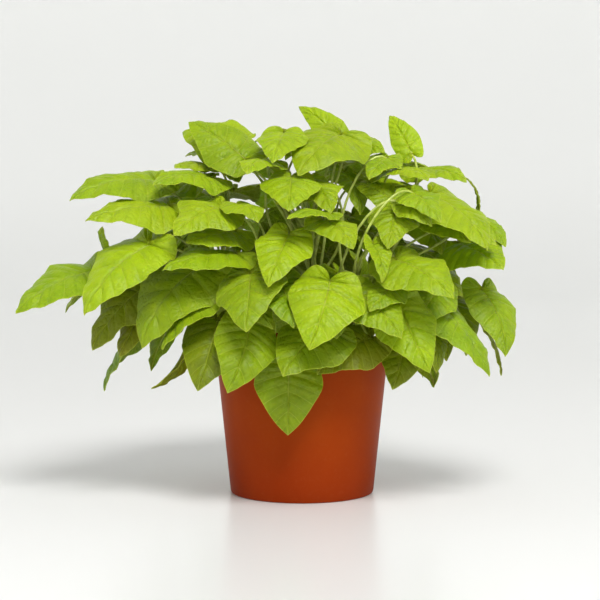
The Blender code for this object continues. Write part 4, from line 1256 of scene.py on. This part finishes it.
def build_pot(finish):
    """The pot: its section spun round, with the drain holes cut through the floor."""
    profile = pot_profile()
    pot = spun("plastic_pot", profile + profile[:1], SPIN_STEPS, finish)
    for index in range(DRAIN_COUNT):
        place = outward_at(360 * index / DRAIN_COUNT) * DRAIN_CIRCLE
        bpy.ops.mesh.primitive_cylinder_add(vertices=DRAIN_SIDES, radius=DRAIN_RADIUS, depth=CUT_DEPTH,
                                            location=place)
        cutter = bpy.context.active_object
        hole = pot.modifiers.new("Drain hole", "BOOLEAN")
        hole.operation = "DIFFERENCE"
        hole.object = cutter
        apply_modifiers(pot)
        bpy.data.objects.remove(cutter)
    make_active(pot)
    bpy.ops.object.shade_smooth_by_angle(angle=SMOOTH_ANGLE)
    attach(pot, "root")
    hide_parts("pot")


def mix_top(x, y):
    """Height of the potting mix: low swells and small crumbs."""
    swell = (math.sin(210 * x + 1.0) * math.cos(260 * y) + 0.6 * math.sin(430 * x - 380 * y)) / 2
    crumbs = noise.fractal(Vector((x * 260, y * 260, 3.0)), 1.0, 2.0, 4)
    return MIX_TOP + MIX_BUMP * (swell + crumbs * 0.55)


def build_mix(finish):
    """The potting mix with an uneven, crumbly top."""
    floor_top = FOOT_RISE + POT_WALL + FIT_GAP
    inner_base = POT_BASE_RADIUS - POT_WALL - SLOPE_GAP
    top_radius = inner_base + pot_radius(MIX_TOP) - pot_radius(0.0)
    profile = [(top_radius * ring / MIX_RINGS, MIX_TOP) for ring in range(MIX_RINGS + 1)]
    profile += [(inner_base, floor_top + MIX_CORNER[1]), (inner_base - MIX_CORNER[0], floor_top)]
    profile += [(0.0, floor_top)]
    mix = spun("potting_mix_fill", profile, SPIN_STEPS, finish)
    for point in mix.data.vertices:
        if point.co.z > MIX_TOP - 0.0001:
            point.co.z = mix_top(point.co.x, point.co.y)
    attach(mix, "root")
    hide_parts("potting_mix")


def build_floor(finish):
    """A round pale floor that curves up into a wall all round, far outside the camera's circle."""
    profile = [(0.0, 0.0), (1.0, 0.0), (FLOOR_RADIUS, 0.0)]
    profile += arc((FLOOR_RADIUS, WALL_BEND), WALL_BEND, -80, 0, 8)
    profile += [(FLOOR_RADIUS + WALL_BEND, WALL_TOP)]
    floor = spun("floor", profile, FLOOR_SPIN_STEPS, finish)
    make_active(floor)
    bpy.ops.object.mode_set(mode="EDIT")
    bpy.ops.mesh.select_all(action="SELECT")
    bpy.ops.mesh.flip_normals()
    bpy.ops.object.mode_set(mode="OBJECT")


def build_light():
    """One large soft light, high at the front and a little to the right, and an even pale sky."""
    world = bpy.data.worlds.new("studio")
    world.use_nodes = True
    set_sockets(world.node_tree.nodes["Background"], {"Color": PALE_LIGHT, "Strength": SKY_STRENGTH})
    bpy.context.scene.world = world
    light = bpy.data.lights.new("key", "AREA")
    light.shape = "DISK"
    light.size = LIGHT_SIZE
    light.energy = LIGHT_POWER
    made = bpy.data.objects.new("key", light)
    made.location = LIGHT_PLACE
    made.rotation_euler = (LIGHT_AIM - LIGHT_PLACE).to_track_quat("-Z", "Y").to_euler()
    bpy.context.scene.collection.objects.link(made)


def build_camera():
    """The camera at the viewpoint that the front is laid out from."""
    camera = bpy.data.cameras.new("photo_view")
    camera.sensor_width = SENSOR_WIDTH
    camera.lens = VIEW_FOCAL * SENSOR_WIDTH / PICTURE_WIDTH
    camera.clip_start = 0.05
    camera.clip_end = 30
    made = bpy.data.objects.new("photo_view", camera)
    made.location = VIEW_FROM
    made.rotation_euler = (math.pi / 2 - VIEW_DOWN, 0, 0)
    bpy.context.scene.collection.objects.link(made)
    bpy.context.scene.camera = made
    bpy.context.scene.view_settings.view_transform = "Standard"


def main():
    veins = leaf_vein_group()
    upper = leaf_material("lime_leaf_top", veins, LEAF_TOP)
    under = leaf_material("leaf_underside", veins, LEAF_UNDERSIDE)
    stalk = stalk_material()
    leaves, routes = layout()
    for name in STEMS:
        leafy_stem(name, leaves, routes, (upper, under, stalk))
    build_pot(pot_material())
    build_mix(mix_material())
    build_floor(floor_material())
    build_light()
    build_camera()


main()
